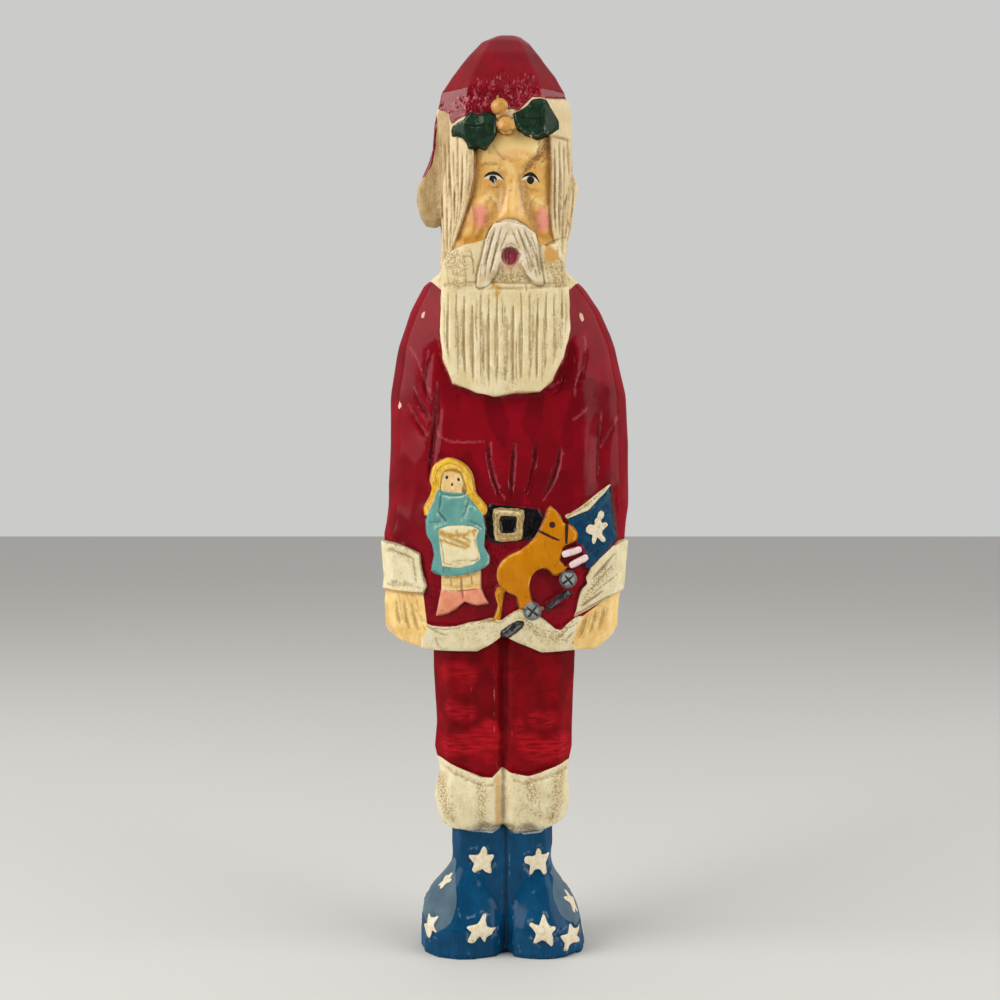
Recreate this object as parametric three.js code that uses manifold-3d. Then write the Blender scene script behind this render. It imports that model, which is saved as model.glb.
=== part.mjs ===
import * as THREE from "three";
import { mergeVertices } from "three/addons/utils/BufferGeometryUtils.js";
import Module from "manifold-3d";

const wasm = await Module();
wasm.setup();

// A standing Santa carved from one upright block of wood. Millimetres, +Z up. The face looks along
// -Y, +X is to the right of someone facing it, and the origin is the middle of the sole.

// Driving dimensions: the block that the figure is cut from
const height = 440;
const blockWidth = 121;
const blockDepth = 54;

// How far each raised form stands off the wood round it
const whiskerRelief = 2.8;
const moustacheRelief = 4.4;
const brimRelief = 1;
const leafRelief = 1.6;
const berryRelief = 3;
const hairRelief = 1;
const sleeveCuffRelief = 1.7;
const hemRelief = 1.2;
const bootCuffRelief = 1.2;
const beltRelief = 1;
const buckleRelief = 2;
const dollRelief = 1.9;
const dressRelief = 2.4;
const apronRelief = 2.9;
const horseRelief = 2.5;
const flagRelief = 1.6;
const tailRelief = 1.4;
const strapRelief = 1.9;
const stripeRelief = 1.1;
const bellRelief = 3.2;

// Round forms
const berryRadius = 4.2;
const bellRadius = 3.9;
const mouthRadius = 4.1;
const mouthDepth = 2.2;

// Widths and depths of the cuts: a knife's V, a V tool's flute, a gouge's furrow
const knifeWidth = 1.3;
const knifeDepth = 0.8;
const fluteWidth = 2.2;
const fluteDepth = 1.1;
const foldWidth = 3;
const foldDepth = 1.3;
const armFurrowWidth = 6.5;
const armFurrowDepth = 2.6;
const legFurrowWidth = 8.4;
const legFurrowDepth = 3.4;
const scoopRadius = 6.4;

// The face is set back between the locks of hair, and the nose stands out from it
const faceSetback = 2;
const noseRelief = 5.6;
const browRelief = 1;
const socketDepth = 1.3;
const cheekRelief = 1.3;

// The lowest height at which a cut looks for the surface that it follows, and how far its cutter
// reaches out from that surface, past any step on the way
const aboveSole = 0.04;
const clearOfSteps = 5;

// How far a shape drawn on the block runs past it, so that it cuts or meets it cleanly
const past = blockDepth;

// The drawing on the block is in thousandths of its height, 275 of them across its width, and
// depths are shares of half the block's depth.
const acrossUnit = blockWidth / 275;
const upUnit = height / 1000;
const halfDepth = blockDepth / 2;
const across = (x) => x * acrossUnit;
const up = (z) => z * upUnit;

// Sections down each stretch of the block: height, left, right, front, back
const headSections = [
  [1000, 6, 11, 0.06, 0.3],
  [997, 12, 18, 0.15, 0.38],
  [988, 26, 27, 0.32, 0.5],
  [972, 40, 38, 0.5, 0.62],
  [946, 59, 56, 0.66, 0.74],
  [928, 70, 65.5, 0.76, 0.8],
  [905, 74, 69.5, 0.82, 0.84],
  [880, 72, 70, 0.8, 0.82],
  [853, 70, 73, 0.78, 0.8],
  [827, 70, 80, 0.77, 0.8],
  [800, 70, 75, 0.76, 0.8],
  [774, 68, 68, 0.76, 0.78],
  [747, 70, 65, 0.76, 0.76],
  [704, 66, 64, 0.72, 0.72],
];
const coatSections = [
  [742, 66, 64, 0.6, 0.66],
  [721, 89, 86, 0.68, 0.74],
  [694, 104, 106, 0.75, 0.82],
  [655, 118, 122, 0.8, 0.9],
  [602, 127, 134, 0.83, 0.94],
  [548, 127, 136, 0.85, 0.95],
  [482, 129, 137.5, 0.87, 0.94],
  [450, 133.5, 132, 0.88, 0.92],
  [403, 130, 128, 0.88, 0.9],
  [376, 133.5, 125.5, 0.87, 0.88],
  [349, 131.5, 124, 0.86, 0.86],
  [336, 124, 118, 0.85, 0.85],
  [310, 104, 104, 0.83, 0.82],
];
const beardSections = [
  [724, 96, 96, 0.89, 0],
  [690, 96, 96, 0.91, 0],
  [650, 96, 96, 0.95, 0],
  [620, 96, 96, 0.97, 0],
  [590, 92, 92, 0.96, 0],
];
const trouserSections = [
  [352, 79, 78, 0.68, 0.7],
  [300, 79, 77, 0.68, 0.7],
  [243, 76, 75, 0.68, 0.69],
  [217, 78, 74, 0.69, 0.68],
  [190, 72, 69, 0.66, 0.66],
  [170, 70, 67, 0.66, 0.66],
];
const bootCuffSections = [
  [212, 71, 69, 0.69, 0.69],
  [190, 70, 67, 0.73, 0.72],
  [164, 74.6, 68.2, 0.77, 0.75],
  [150, 71.5, 67, 0.77, 0.75],
  [137, 68, 63, 0.75, 0.73],
  [122, 62, 54, 0.7, 0.7],
];
const bootSections = [
  [150, 59, 53, 0.6, 0.64],
  [110, 59, 53, 0.6, 0.64],
  [84, 58, 51, 0.61, 0.66],
  [50, 58, 51, 0.64, 0.7],
  [0, 58, 51, 0.66, 0.7],
];
const leftFootSections = [
  [97, 13, 40, 0.48, 0.56],
  [84, 20, 43, 0.56, 0.66],
  [71, 30, 46, 0.64, 0.76],
  [58, 42, 48, 0.74, 0.88],
  [44, 49.6, 49, 0.88, 0.97],
  [31, 50, 50, 1, 1],
  [0, 50.6, 51, 1, 1],
];
const rightFootSections = [
  [97, 40, 8, 0.48, 0.56],
  [84, 43, 13, 0.56, 0.66],
  [71, 46, 20, 0.64, 0.76],
  [58, 48, 31, 0.74, 0.88],
  [44, 49, 39, 0.88, 0.97],
  [31, 50, 43, 1, 1],
  [0, 51, 48, 1, 1],
];
const footMiddle = 42;

// Corners round a section, in degrees from the front: a broad facet ahead, astern and each side
const headCorners = [30, 60, 120, 150, 210, 240, 300, 330];
const evenCorners = (count) => Array.from({ length: count }, (_, i) => ((i + 0.5) * 360) / count);

// Lines that trim the stretches, and the edges that carving follows
const hemLine = [
  [-150, 360],
  [-133, 346],
  [-118, 335],
  [-96, 328],
  [-81, 325],
  [-30, 324],
  [-15, 332],
  [-2, 341],
  [14, 333],
  [40, 323],
  [72, 325],
  [98, 325],
  [113, 335],
  [130, 347],
  [150, 356],
];
const hemTopLine = [
  [76, 361],
  [63, 353],
  [54, 349],
  [36, 362],
  [18, 371],
  [8, 366],
  [-5, 358],
  [-26, 358],
  [-52, 352],
  [-78, 353],
  [-90, 358],
];
const bootCuffTopLine = [
  [-90, 212],
  [-71, 206],
  [-26, 189],
  [-14, 189],
  [-3, 198],
  [5, 195],
  [25, 191],
  [52, 198],
  [90, 205],
];
const bootCuffBottomLine = [
  [90, 142],
  [54, 136],
  [38, 131],
  [14, 129],
  [-2, 138],
  [-14, 131],
  [-35, 131],
  [-63, 132],
  [-90, 137],
];
const faceLeftEdge = [
  [-33, 884],
  [-34, 833],
  [-38, 811],
  [-44, 792],
  [-52, 770],
  [-60, 752],
];
const faceRightEdge = [
  [47, 884],
  [50, 852],
  [50, 825],
  [49, 797],
  [51, 776],
  [55, 758],
];
const beardLowerEdge = [
  [-70, 668],
  [-67, 637],
  [-56, 611],
  [-30, 600],
  [-12, 596],
  [14, 600],
  [37, 601],
  [50, 613],
  [63, 639],
  [70, 668],
];

// A closed skin over a stack of rings of points. Each ring goes from the front towards +X and round.
function skin(rings) {
  const sides = rings[0].length;
  const steps = rings.length - 1;
  const geometry = new THREE.CylinderGeometry(1, 1, 1, sides, steps);
  const place = geometry.attributes.position;
  const point = new THREE.Vector3();
  for (let i = 0; i < place.count; i++) {
    point.fromBufferAttribute(place, i);
    const ring = rings[Math.round((0.5 - point.y) * steps)];
    if (Math.hypot(point.x, point.z) < 0.5) {
      point.set(0, 0, 0);
      ring.forEach((corner) => point.addScaledVector(corner, 1 / sides));
    } else {
      const turn = Math.atan2(point.x, point.z) / (2 * Math.PI);
      point.copy(ring[Math.round(turn * sides + sides) % sides]);
    }
    place.setXYZ(i, point.x, point.y, point.z);
  }
  return geometry;
}

// A stretch of the block shaved to its sections. Square is how boxy they are, 2 being an ellipse,
// and proud is how far the whole stretch is left thicker.
function stretch(sections, corners, square, { proud = 0, middle = 0 } = {}) {
  const unit = corners.map((degrees) => {
    const angle = THREE.MathUtils.degToRad(degrees);
    const x = Math.sin(angle);
    const y = Math.cos(angle);
    const reach = (Math.abs(x) ** square + Math.abs(y) ** square) ** (-1 / square);
    return [x * reach, y * reach];
  });
  const widest = Math.max(...unit.map(([x]) => x));
  const deepest = Math.max(...unit.map(([, y]) => y));
  const rings = sections.map(([z, left, right, front, back]) =>
    unit.map(([x, y]) => {
      const half = across(x > 0 ? right : left) + proud;
      const deep = halfDepth * (y > 0 ? front : back) + proud;
      const sideways = across(middle) + (x / widest) * half;
      return new THREE.Vector3(sideways, (-y / deepest) * deep, up(z));
    }),
  );
  return solid(skin(rings));
}

// A closed geometry as a solid, its shared points merged
function solid(geometry) {
  geometry.deleteAttribute("normal");
  geometry.deleteAttribute("uv");
  const merged = mergeVertices(geometry, 1e-4);
  return new wasm.Manifold(
    new wasm.Mesh({
      numProp: 3,
      vertProperties: merged.attributes.position.array,
      triVerts: new Uint32Array(merged.index.array),
    }),
  );
}

function geometryOf(body) {
  const mesh = body.getMesh();
  const geometry = new THREE.BufferGeometry();
  const place = new Float32Array(mesh.vertProperties);
  geometry.setAttribute("position", new THREE.BufferAttribute(place, 3));
  geometry.setIndex(new THREE.BufferAttribute(new Uint32Array(mesh.triVerts), 1));
  return geometry;
}

const joined = (bodies) => bodies.reduce((whole, body) => whole.add(body));

// An outline drawn on the front of the block and run into it from one depth to another
function sawn(outline, from, to) {
  const points = outline.map(([x, z]) => new THREE.Vector2(across(x), up(z)));
  const options = { depth: to - from, bevelEnabled: false };
  const geometry = new THREE.ExtrudeGeometry(new THREE.Shape(points), options);
  geometry.rotateX(Math.PI / 2);
  geometry.translate(0, to, 0);
  return solid(geometry);
}

// A smooth closed outline through a few points, for what is drawn with a swing of the hand
function swept(points, fineness = 2) {
  const path = new THREE.SplineCurve(points.map(([x, z]) => new THREE.Vector2(x, z)));
  return path.getPoints((points.length - 1) * fineness).map((p) => [p.x, p.y]);
}

// A raised form: the outline on the front, standing off its stretch of the block by its relief
const raised = (outline, thicker) => sawn(outline, -past, -halfDepth * 0.2).intersect(thicker);
const raisedBehind = (outline, thicker) => sawn(outline, halfDepth * 0.2, past).intersect(thicker);
const raisedAllRound = (outline, thicker) => sawn(outline, -past, past).intersect(thicker);

const headStretch = (proud = 0) => stretch(headSections, headCorners, 2.5, { proud });
const coatStretch = (proud = 0) => stretch(coatSections, evenCorners(16), 2.8, { proud });
const beardStretch = () => stretch(beardSections, evenCorners(16), 4);
const bootCuffStretch = (proud = 0) => stretch(bootCuffSections, evenCorners(12), 3, { proud });

// How far an edge line lies across the block at a height
function along(edge, z) {
  const rising = [...edge].sort((a, b) => a[1] - b[1]);
  for (let i = 1; i < rising.length; i++) {
    const [x0, z0] = rising[i - 1];
    const [x1, z1] = rising[i];
    if (z <= z1) return x0 + ((x1 - x0) * Math.max(0, z - z0)) / (z1 - z0);
  }
  return rising[rising.length - 1][0];
}

// How high an edge line lies at a place across the block
function heightAt(edge, x) {
  for (let i = 1; i < edge.length; i++) {
    const [x0, z0] = edge[i - 1];
    const [x1, z1] = edge[i];
    if (x <= x1) return z0 + ((z1 - z0) * Math.max(0, x - x0)) / (x1 - x0);
  }
  return edge[edge.length - 1][1];
}

// The face: a sheet of wood set between the locks, pushed out at brow, nose and cheeks and in at
// the sockets. Swell is a soft hump of height 1 round a place.
const swell = (d, width) => Math.exp(-((d / width) ** 2));
const noseTop = 838;
const noseTip = 785;
const eyePlaces = [-12, 30];
const cheekPlaces = [-27, 40];
const eyeLine = 829;
const cheekLine = 796;
const faceMiddle = 8;

function faceDepth(x, z) {
  let y = -halfDepth * 0.76 + faceSetback + 4.6 * Math.abs(x / 60) ** 3;
  y -= browRelief * swell(z - 852, 16) * swell(x - faceMiddle, 40);
  eyePlaces.forEach((eye) => {
    y += socketDepth * swell(x - eye, 15) * swell(z - eyeLine, 13);
  });
  cheekPlaces.forEach((cheek) => {
    y -= cheekRelief * swell(x - cheek, 14) * swell(z - cheekLine, 16);
  });
  const down = THREE.MathUtils.clamp((noseTop - z) / (noseTop - noseTip), 0, 1);
  const under = THREE.MathUtils.clamp((z - noseTip + 9) / 9, 0, 1);
  y -= noseRelief * down * under * swell(x - faceMiddle, 6 + 9 * down);
  return y;
}

function face() {
  const left = -63;
  const right = 58;
  const low = 742;
  const high = 888;
  const geometry = new THREE.BoxGeometry(1, 1, 1, 13, 1, 11);
  const place = geometry.attributes.position;
  for (let i = 0; i < place.count; i++) {
    const x = THREE.MathUtils.lerp(left, right, place.getX(i) + 0.5);
    const z = THREE.MathUtils.lerp(low, high, place.getZ(i) + 0.5);
    const y = place.getY(i) < 0 ? faceDepth(x, z) : 0;
    place.setXYZ(i, across(x), y, up(z));
  }
  return solid(geometry);
}

// A flattened ball let into the surface at a place on the front
function boss(x, z, y, radius, relief) {
  const geometry = new THREE.SphereGeometry(1, 10, 6);
  geometry.scale(radius, relief, radius);
  geometry.translate(across(x), y, up(z));
  return solid(geometry);
}

// A round plug along Y, used to cut or fill
function plug(x, z, radius, from, to) {
  const geometry = new THREE.CylinderGeometry(radius, radius, to - from, 14);
  geometry.translate(across(x), (from + to) / 2, up(z));
  return solid(geometry);
}

// The hat's tip folds over to the left and hangs behind the hair, with its bobble at the end
function hatTail() {
  const outline = [
    [-60, 915],
    [-72, 917],
    [-77, 895],
    [-79, 868],
    [-84, 853],
    [-91, 838],
    [-96, 826],
    [-97, 812],
    [-94, 800],
    [-88, 792],
    [-78, 790],
    [-60, 798],
  ];
  return sawn(outline, -halfDepth * 0.34, halfDepth * 0.3);
}

function head() {
  const faceHole = [...faceLeftEdge, ...[...faceRightEdge].reverse()];
  const rightBrim = [
    [29, 917],
    [43, 916],
    [62, 920],
    [90, 924],
    [90, 876],
    [40, 878],
  ];
  const backBrim = [
    [-90, 912],
    [90, 922],
    [90, 876],
    [-90, 870],
  ];
  const backHair = [
    [-80, 872],
    [80, 878],
    [72, 735],
    [58, 712],
    [30, 700],
    [-4, 697],
    [-40, 701],
    [-66, 716],
    [-76, 740],
  ];
  const cheekBeard = [
    [-66, 713],
    [-71, 719],
    [-70, 735],
    [-62, 752],
    [-44, 758],
    [-20, 764],
    [22, 764],
    [44, 757],
    [57, 763],
    [65, 742],
    [70, 719],
    [66, 713],
  ];
  const body = headStretch()
    .subtract(sawn(faceHole, -past, -halfDepth * 0.5))
    .add(face())
    .add(hatTail());
  return joined([
    body,
    raised(rightBrim, headStretch(brimRelief)),
    raisedBehind(backBrim, headStretch(brimRelief + hairRelief)),
    raisedBehind(backHair, headStretch(hairRelief)),
    raised(cheekBeard, headStretch(whiskerRelief)),
  ]);
}

function moustache() {
  const half = [
    [3, 782],
    [21, 778],
    [32, 770],
    [36, 755],
    [37, 741],
    [41, 719],
    [39, 714],
    [31, 716],
    [22, 725],
    [17, 734],
    [16, 747],
    [6, 758],
    [-3, 747],
    [-6, 734],
    [-11, 722],
    [-25, 712],
    [-30, 715],
    [-29, 728],
    [-24, 748],
    [-21, 761],
    [-17, 772],
    [-12, 780],
  ];
  return raised(half, headStretch(moustacheRelief));
}

function holly() {
  const leftLeaf = [
    [-55, 886],
    [-51, 890],
    [-44, 891],
    [-36, 900],
    [-30, 897],
    [-20, 899],
    [-11, 896],
    [-8, 888],
    [-10, 878],
    [-16, 868],
    [-21, 861],
    [-28, 864],
    [-39, 862],
    [-41, 868],
    [-47, 875],
    [-55, 877],
  ];
  const rightLeaf = [
    [10, 897],
    [18, 902],
    [29, 911],
    [43, 913],
    [51, 900],
    [57, 893],
    [56, 885],
    [51, 879],
    [42, 876],
    [35, 874],
    [28, 874],
    [18, 879],
    [12, 885],
    [9, 891],
  ];
  const surface = -halfDepth * 0.81;
  return joined([
    raised(leftLeaf, headStretch(leafRelief)),
    raised(rightLeaf, headStretch(leafRelief)),
    boss(-5, 906, surface, berryRadius, berryRelief),
    boss(1, 886, surface, berryRadius, berryRelief),
  ]);
}

function beard() {
  const outline = [[-69, 717], ...beardLowerEdge, [69, 717]];
  return raised(outline, beardStretch());
}

function sleeveCuffs() {
  const left = [
    [-150, 446],
    [-132, 442],
    [-105, 436],
    [-91, 428],
    [-87, 404],
    [-84, 394],
    [-87, 386],
    [-128, 389],
    [-150, 390],
  ];
  const right = [
    [150, 446],
    [122, 441],
    [110, 431],
    [92, 414],
    [86, 404],
    [87, 397],
    [81, 391],
    [74, 364],
    [111, 382],
    [150, 396],
  ];
  return joined([left, right].map((o) => raisedAllRound(o, coatStretch(sleeveCuffRelief))));
}

function hem() {
  const below = 300;
  const outline = [...hemTopLine, [-92, below], [76, below]];
  return raisedAllRound(outline, coatStretch(hemRelief));
}

function belt() {
  const strap = [
    [-19, 477],
    [-15, 483],
    [36, 477],
    [41, 468],
    [31, 445],
    [-10, 440],
    [-19, 446],
  ];
  const frame = [
    [-12, 476],
    [19, 475],
    [17, 445],
    [-10, 444],
  ];
  const opening = [
    [-5, 469],
    [12, 468],
    [11, 452],
    [-4, 452],
  ];
  const buckle = raised(frame, coatStretch(buckleRelief));
  return raised(strap, coatStretch(beltRelief)).add(buckle.subtract(sawn(opening, -past, past)));
}

function doll() {
  const hair = swept([
    [-42, 495],
    [-23, 470],
    [-20, 479],
    [-32, 495],
    [-35, 511],
    [-41, 522],
    [-52, 529],
    [-63, 531],
    [-73, 525],
    [-79, 516],
    [-80, 504],
    [-81, 488],
    [-87, 478],
    [-84, 469],
    [-76, 484],
    [-70, 497],
  ]);
  const dress = [
    [-72, 497],
    [-77, 484],
    [-83, 470],
    [-85, 463],
    [-83, 448],
    [-79, 441],
    [-76, 428],
    [-79, 412],
    [-67, 405],
    [-54, 405],
    [-38, 408],
    [-26, 412],
    [-17, 419],
    [-17, 428],
    [-22, 437],
    [-21, 457],
    [-23, 470],
    [-37, 488],
    [-41, 494],
    [-56, 494],
  ];
  const apron = [
    [-72, 452],
    [-62, 458],
    [-36, 458],
    [-31, 451],
    [-27, 426],
    [-47, 417],
    [-68, 416],
  ];
  const legs = [
    [-68, 408],
    [-26, 412],
    [-26, 392],
    [-68, 388],
  ];
  const shoes = [
    [-69, 390],
    [-26, 394],
    [-17, 377],
    [-29, 374],
    [-43, 377],
    [-61, 365],
    [-74, 363],
  ];
  return joined([
    raised(hair, coatStretch(dollRelief)),
    raised(dress, coatStretch(dressRelief)),
    raised(apron, coatStretch(apronRelief)),
    raised(legs, coatStretch(dollRelief * 0.7)),
    raised(shoes, coatStretch(dollRelief)),
  ]);
}

function horse() {
  const body = [
    ...swept([
      [62, 462],
      [71, 459],
      [77, 451],
      [75, 442],
      [63, 437],
      [59, 430],
      [59, 422],
      [67, 414],
    ]),
    [56, 406],
    ...swept([
      [50, 407],
      [44, 413],
      [34, 411],
      [28, 403],
      [26, 392],
      [28, 379],
    ]),
    [34, 374],
    [16, 369],
    ...swept([
      [12, 384],
      [2, 388],
      [-6, 396],
      [-9, 406],
      [-6, 418],
      [4, 427],
      [18, 434],
      [31, 447],
      [40, 463],
      [47, 480],
    ]),
    [54, 477],
  ];
  const tail = [
    [-8, 396],
    [-12, 387],
    [-8, 374],
    [-13, 357],
    [-5, 359],
    [-2, 375],
    [-1, 386],
    [0, 393],
  ];
  return raised(body, coatStretch(horseRelief)).add(raised(tail, coatStretch(tailRelief)));
}

function flag() {
  const cloth = [
    [66, 467],
    [90, 481],
    [104, 493],
    [117, 507],
    [115, 484],
    [117, 463],
    [122, 446],
    [111, 433],
    [90, 413],
    [85, 413],
    [84, 428],
    [76, 437],
  ];
  const stripe = (x, z, tilt) => {
    const turn = THREE.MathUtils.degToRad(tilt);
    const half = 9;
    const dx = Math.cos(turn) * half;
    const dz = Math.sin(turn) * half;
    return bar([x - dx, z - dz], [x + dx, z + dz], 8.5);
  };
  return joined([
    raised(cloth, coatStretch(flagRelief)),
    raised(stripe(71, 431, 17), coatStretch(flagRelief + stripeRelief)),
    raised(stripe(78, 421, 28), coatStretch(flagRelief + stripeRelief)),
  ]);
}

// A straight bar with round ends, drawn between two points
function bar([x0, z0], [x1, z1], width) {
  const heading = Math.atan2(z1 - z0, x1 - x0);
  const steps = 4;
  const cap = (x, z, from) =>
    Array.from({ length: steps + 1 }, (_, i) => {
      const angle = from + (i * Math.PI) / steps;
      return [x + (Math.cos(angle) * width) / 2, z + (Math.sin(angle) * width) / 2];
    });
  return [...cap(x1, z1, heading - Math.PI / 2), ...cap(x0, z0, heading + Math.PI / 2)];
}

function bells() {
  const surface = -halfDepth * 0.88;
  return joined([
    boss(67, 402, surface, bellRadius, bellRelief),
    boss(29, 368, surface, bellRadius, bellRelief),
    raised(bar([47, 374], [62, 384], 10), coatStretch(strapRelief)),
    raised(bar([1, 345], [16, 355], 9), coatStretch(strapRelief)),
  ]);
}

function coat() {
  const lowest = 280;
  const clearOfHem = [...hemLine, [150, lowest], [-150, lowest]].reverse();
  return joined([coatStretch(), beard(), sleeveCuffs(), hem(), belt(), doll(), horse(), flag()])
    .add(bells())
    .subtract(sawn(clearOfHem, -past, past));
}

function legs() {
  const trousers = stretch(trouserSections, evenCorners(12), 3);
  const lower = bootCuffTopLine.map(([x, z]) => [x, z - 9]);
  const upperBand = raisedAllRound([...bootCuffTopLine, ...bootCuffBottomLine], bootCuffStretch());
  const thicker = bootCuffStretch(bootCuffRelief);
  const lowerBand = raisedAllRound([...lower, ...bootCuffBottomLine], thicker);
  const scoops = [-22, 24].map((x) => boss(x, 128, -halfDepth * 0.84, scoopRadius, scoopRadius));
  const cuffs = scoops.reduce((whole, scoop) => whole.subtract(scoop), upperBand.add(lowerBand));
  const block = joined([
    trousers,
    cuffs,
    stretch(bootSections, evenCorners(12), 3.6),
    stretch(leftFootSections, evenCorners(16), 2.4, { middle: -footMiddle }),
    stretch(rightFootSections, evenCorners(16), 2.4, { middle: footMiddle - 2 }),
  ]);
  return legCuts(cutter(block)).reduce((whole, furrow) => whole.subtract(furrow), block);
}

// Cuts are laid on the finished surface. Facing is -1 for the front and 1 for the back.
function cutter(body) {
  const surface = new THREE.Mesh(geometryOf(body));
  surface.material.side = THREE.DoubleSide;
  const ray = new THREE.Raycaster();
  const depthAt = (x, z, facing) => {
    const above = Math.max(z, aboveSole);
    ray.set(new THREE.Vector3(x, facing * past, above), new THREE.Vector3(0, -facing, 0));
    const [hit] = ray.intersectObject(surface);
    return hit ? hit.point.y : 0;
  };
  // A V groove along a path, dying away at its ends unless it runs through. The V flares a little
  // above the surface, and from there the cutter goes straight out, clear of steps on its way.
  return (path, width, depth, { facing = -1, through = false } = {}) => {
    const flare = 1;
    const curve = new THREE.SplineCurve(path.map(([x, z]) => new THREE.Vector2(across(x), up(z))));
    const steps = Math.max(3, path.length - 1);
    const rings = curve.getPoints(steps).map((point, i) => {
      const share = i / steps;
      const full = through ? 1 : Math.min(1, 0.12 + 2.6 * Math.min(share, 1 - share));
      const heading = curve.getTangent(share);
      const half = (width / 2) * (full + flare / depth);
      const y = depthAt(point.x, point.y, facing);
      const aside = new THREE.Vector3(-heading.y, 0, heading.x).multiplyScalar(-facing * half);
      const lip = new THREE.Vector3(point.x, y + facing * flare, point.y);
      const outside = new THREE.Vector3(point.x, y + facing * clearOfSteps, point.y);
      const bottom = new THREE.Vector3(point.x, y - facing * depth * full, point.y);
      return [
        outside.clone().add(aside),
        lip.clone().add(aside),
        bottom,
        lip.clone().sub(aside),
        outside.clone().sub(aside),
      ];
    });
    return solid(skin(rings));
  };
}

// Paths for flutes that fan between two edges
function fan(leftEdge, rightEdge, count, heights) {
  return Array.from({ length: count }, (_, i) => {
    const share = (i + 0.6) / count;
    return heights.map((z) => [
      THREE.MathUtils.lerp(along(leftEdge, z), along(rightEdge, z), share),
      z,
    ]);
  });
}

function hairCuts(cut) {
  const outerLeft = [
    [-74, 884],
    [-72, 850],
    [-72, 800],
    [-68, 752],
  ];
  const outerRight = [
    [74, 884],
    [78, 850],
    [76, 800],
    [70, 758],
  ];
  const heights = [866, 825, 790, 760];
  const locks = [
    ...fan(outerLeft, faceLeftEdge, 5, heights),
    ...fan(faceRightEdge, outerRight, 4, heights),
  ];
  const behind = Array.from({ length: 7 }, (_, i) => {
    const x = -57 + i * 19;
    return [
      [x, 866],
      [x * 0.94, 790],
      [x * 0.9, 716],
    ];
  });
  return [
    ...locks.map((path) => cut(path, fluteWidth, fluteDepth)),
    ...behind.map((path) => cut(path, foldWidth, foldDepth, { facing: 1 })),
  ];
}

function beardCuts(cut) {
  const flutes = Array.from({ length: 15 }, (_, i) => {
    const x = -61 + i * 8.7;
    const foot = heightAt(beardLowerEdge, x) + 5;
    const sway = i % 3 === 1 ? 2.5 : -1.5;
    return [
      [x, 705 - (i % 2) * 9],
      [x + sway, (705 + foot) / 2],
      [x * 0.96, foot],
    ];
  });
  const whiskers = [
    [
      [-9, 777],
      [-18, 752],
      [-25, 722],
    ],
    [
      [-2, 772],
      [-11, 748],
      [-18, 720],
    ],
    [
      [12, 773],
      [24, 752],
      [31, 723],
    ],
    [
      [20, 772],
      [31, 752],
      [37, 722],
    ],
  ];
  const parting = [
    [-62, 713],
    [-20, 711],
    [24, 712],
    [64, 714],
  ];
  return [
    ...flutes.map((path) => cut(path, fluteWidth, fluteDepth)),
    ...whiskers.map((path) => cut(path, fluteWidth, fluteDepth)),
    cut(parting, knifeWidth, knifeDepth),
  ];
}

function coatCuts(cut) {
  const folds = [
    [
      [-21, 556],
      [-15, 522],
      [-6, 486],
    ],
    [
      [11, 552],
      [8, 520],
      [6, 487],
    ],
    [
      [33, 553],
      [30, 522],
      [20, 486],
    ],
    [
      [59, 547],
      [54, 515],
      [38, 485],
    ],
    [
      [-101, 584],
      [-92, 567],
      [-83, 551],
    ],
    [
      [-95, 603],
      [-88, 586],
      [-79, 571],
    ],
    [
      [-78, 648],
      [-86, 624],
      [-85, 596],
    ],
    [
      [88, 653],
      [83, 627],
      [74, 600],
    ],
    [
      [120, 574],
      [111, 558],
      [101, 543],
    ],
  ];
  const armFurrows = [
    [
      [-72, 610],
      [-76, 566],
      [-82, 508],
    ],
    [
      [102, 584],
      [100, 542],
      [98, 500],
    ],
  ];
  const backFurrows = [-88, 94].map((x) => [
    [x * 0.86, 640],
    [x, 560],
    [x * 1.02, 462],
  ]);
  const backFolds = [-38, 2, 42].map((x) => [
    [x * 0.8, 560],
    [x, 480],
    [x * 1.1, 400],
  ]);
  const flagEdge = [
    [120, 505],
    [121, 478],
    [126, 450],
  ];
  const cuffLines = [
    [
      [-129, 434],
      [-118, 431],
      [-108, 427],
      [-94, 421],
    ],
    [
      [-127, 397],
      [-118, 396],
      [-106, 394],
      [-90, 389],
    ],
    [
      [121, 430],
      [106, 414],
      [91, 399],
    ],
    [
      [110, 391],
      [92, 380],
      [79, 371],
    ],
  ];
  const fingers = [
    [
      [-119, 380],
      [-116, 362],
      [-112, 350],
    ],
    [
      [-110, 381],
      [-107, 361],
      [-102, 344],
    ],
    [
      [-102, 381],
      [-98, 361],
      [-93, 345],
    ],
    [
      [108, 374],
      [105, 358],
      [100, 343],
    ],
    [
      [99, 371],
      [95, 354],
      [89, 338],
    ],
    [
      [90, 366],
      [84, 349],
      [79, 337],
    ],
  ];
  return [
    ...folds.map((path) => cut(path, foldWidth, foldDepth)),
    ...armFurrows.map((path) => cut(path, armFurrowWidth, armFurrowDepth)),
    ...backFurrows.map((path) => cut(path, armFurrowWidth, armFurrowDepth, { facing: 1 })),
    ...backFolds.map((path) => cut(path, foldWidth, foldDepth, { facing: 1 })),
    cut(flagEdge, foldWidth, foldDepth * 1.6),
    ...cuffLines.map((path) => cut(path, knifeWidth, knifeDepth)),
    ...fingers.map((path) => cut(path, foldWidth, foldDepth)),
  ];
}

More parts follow.
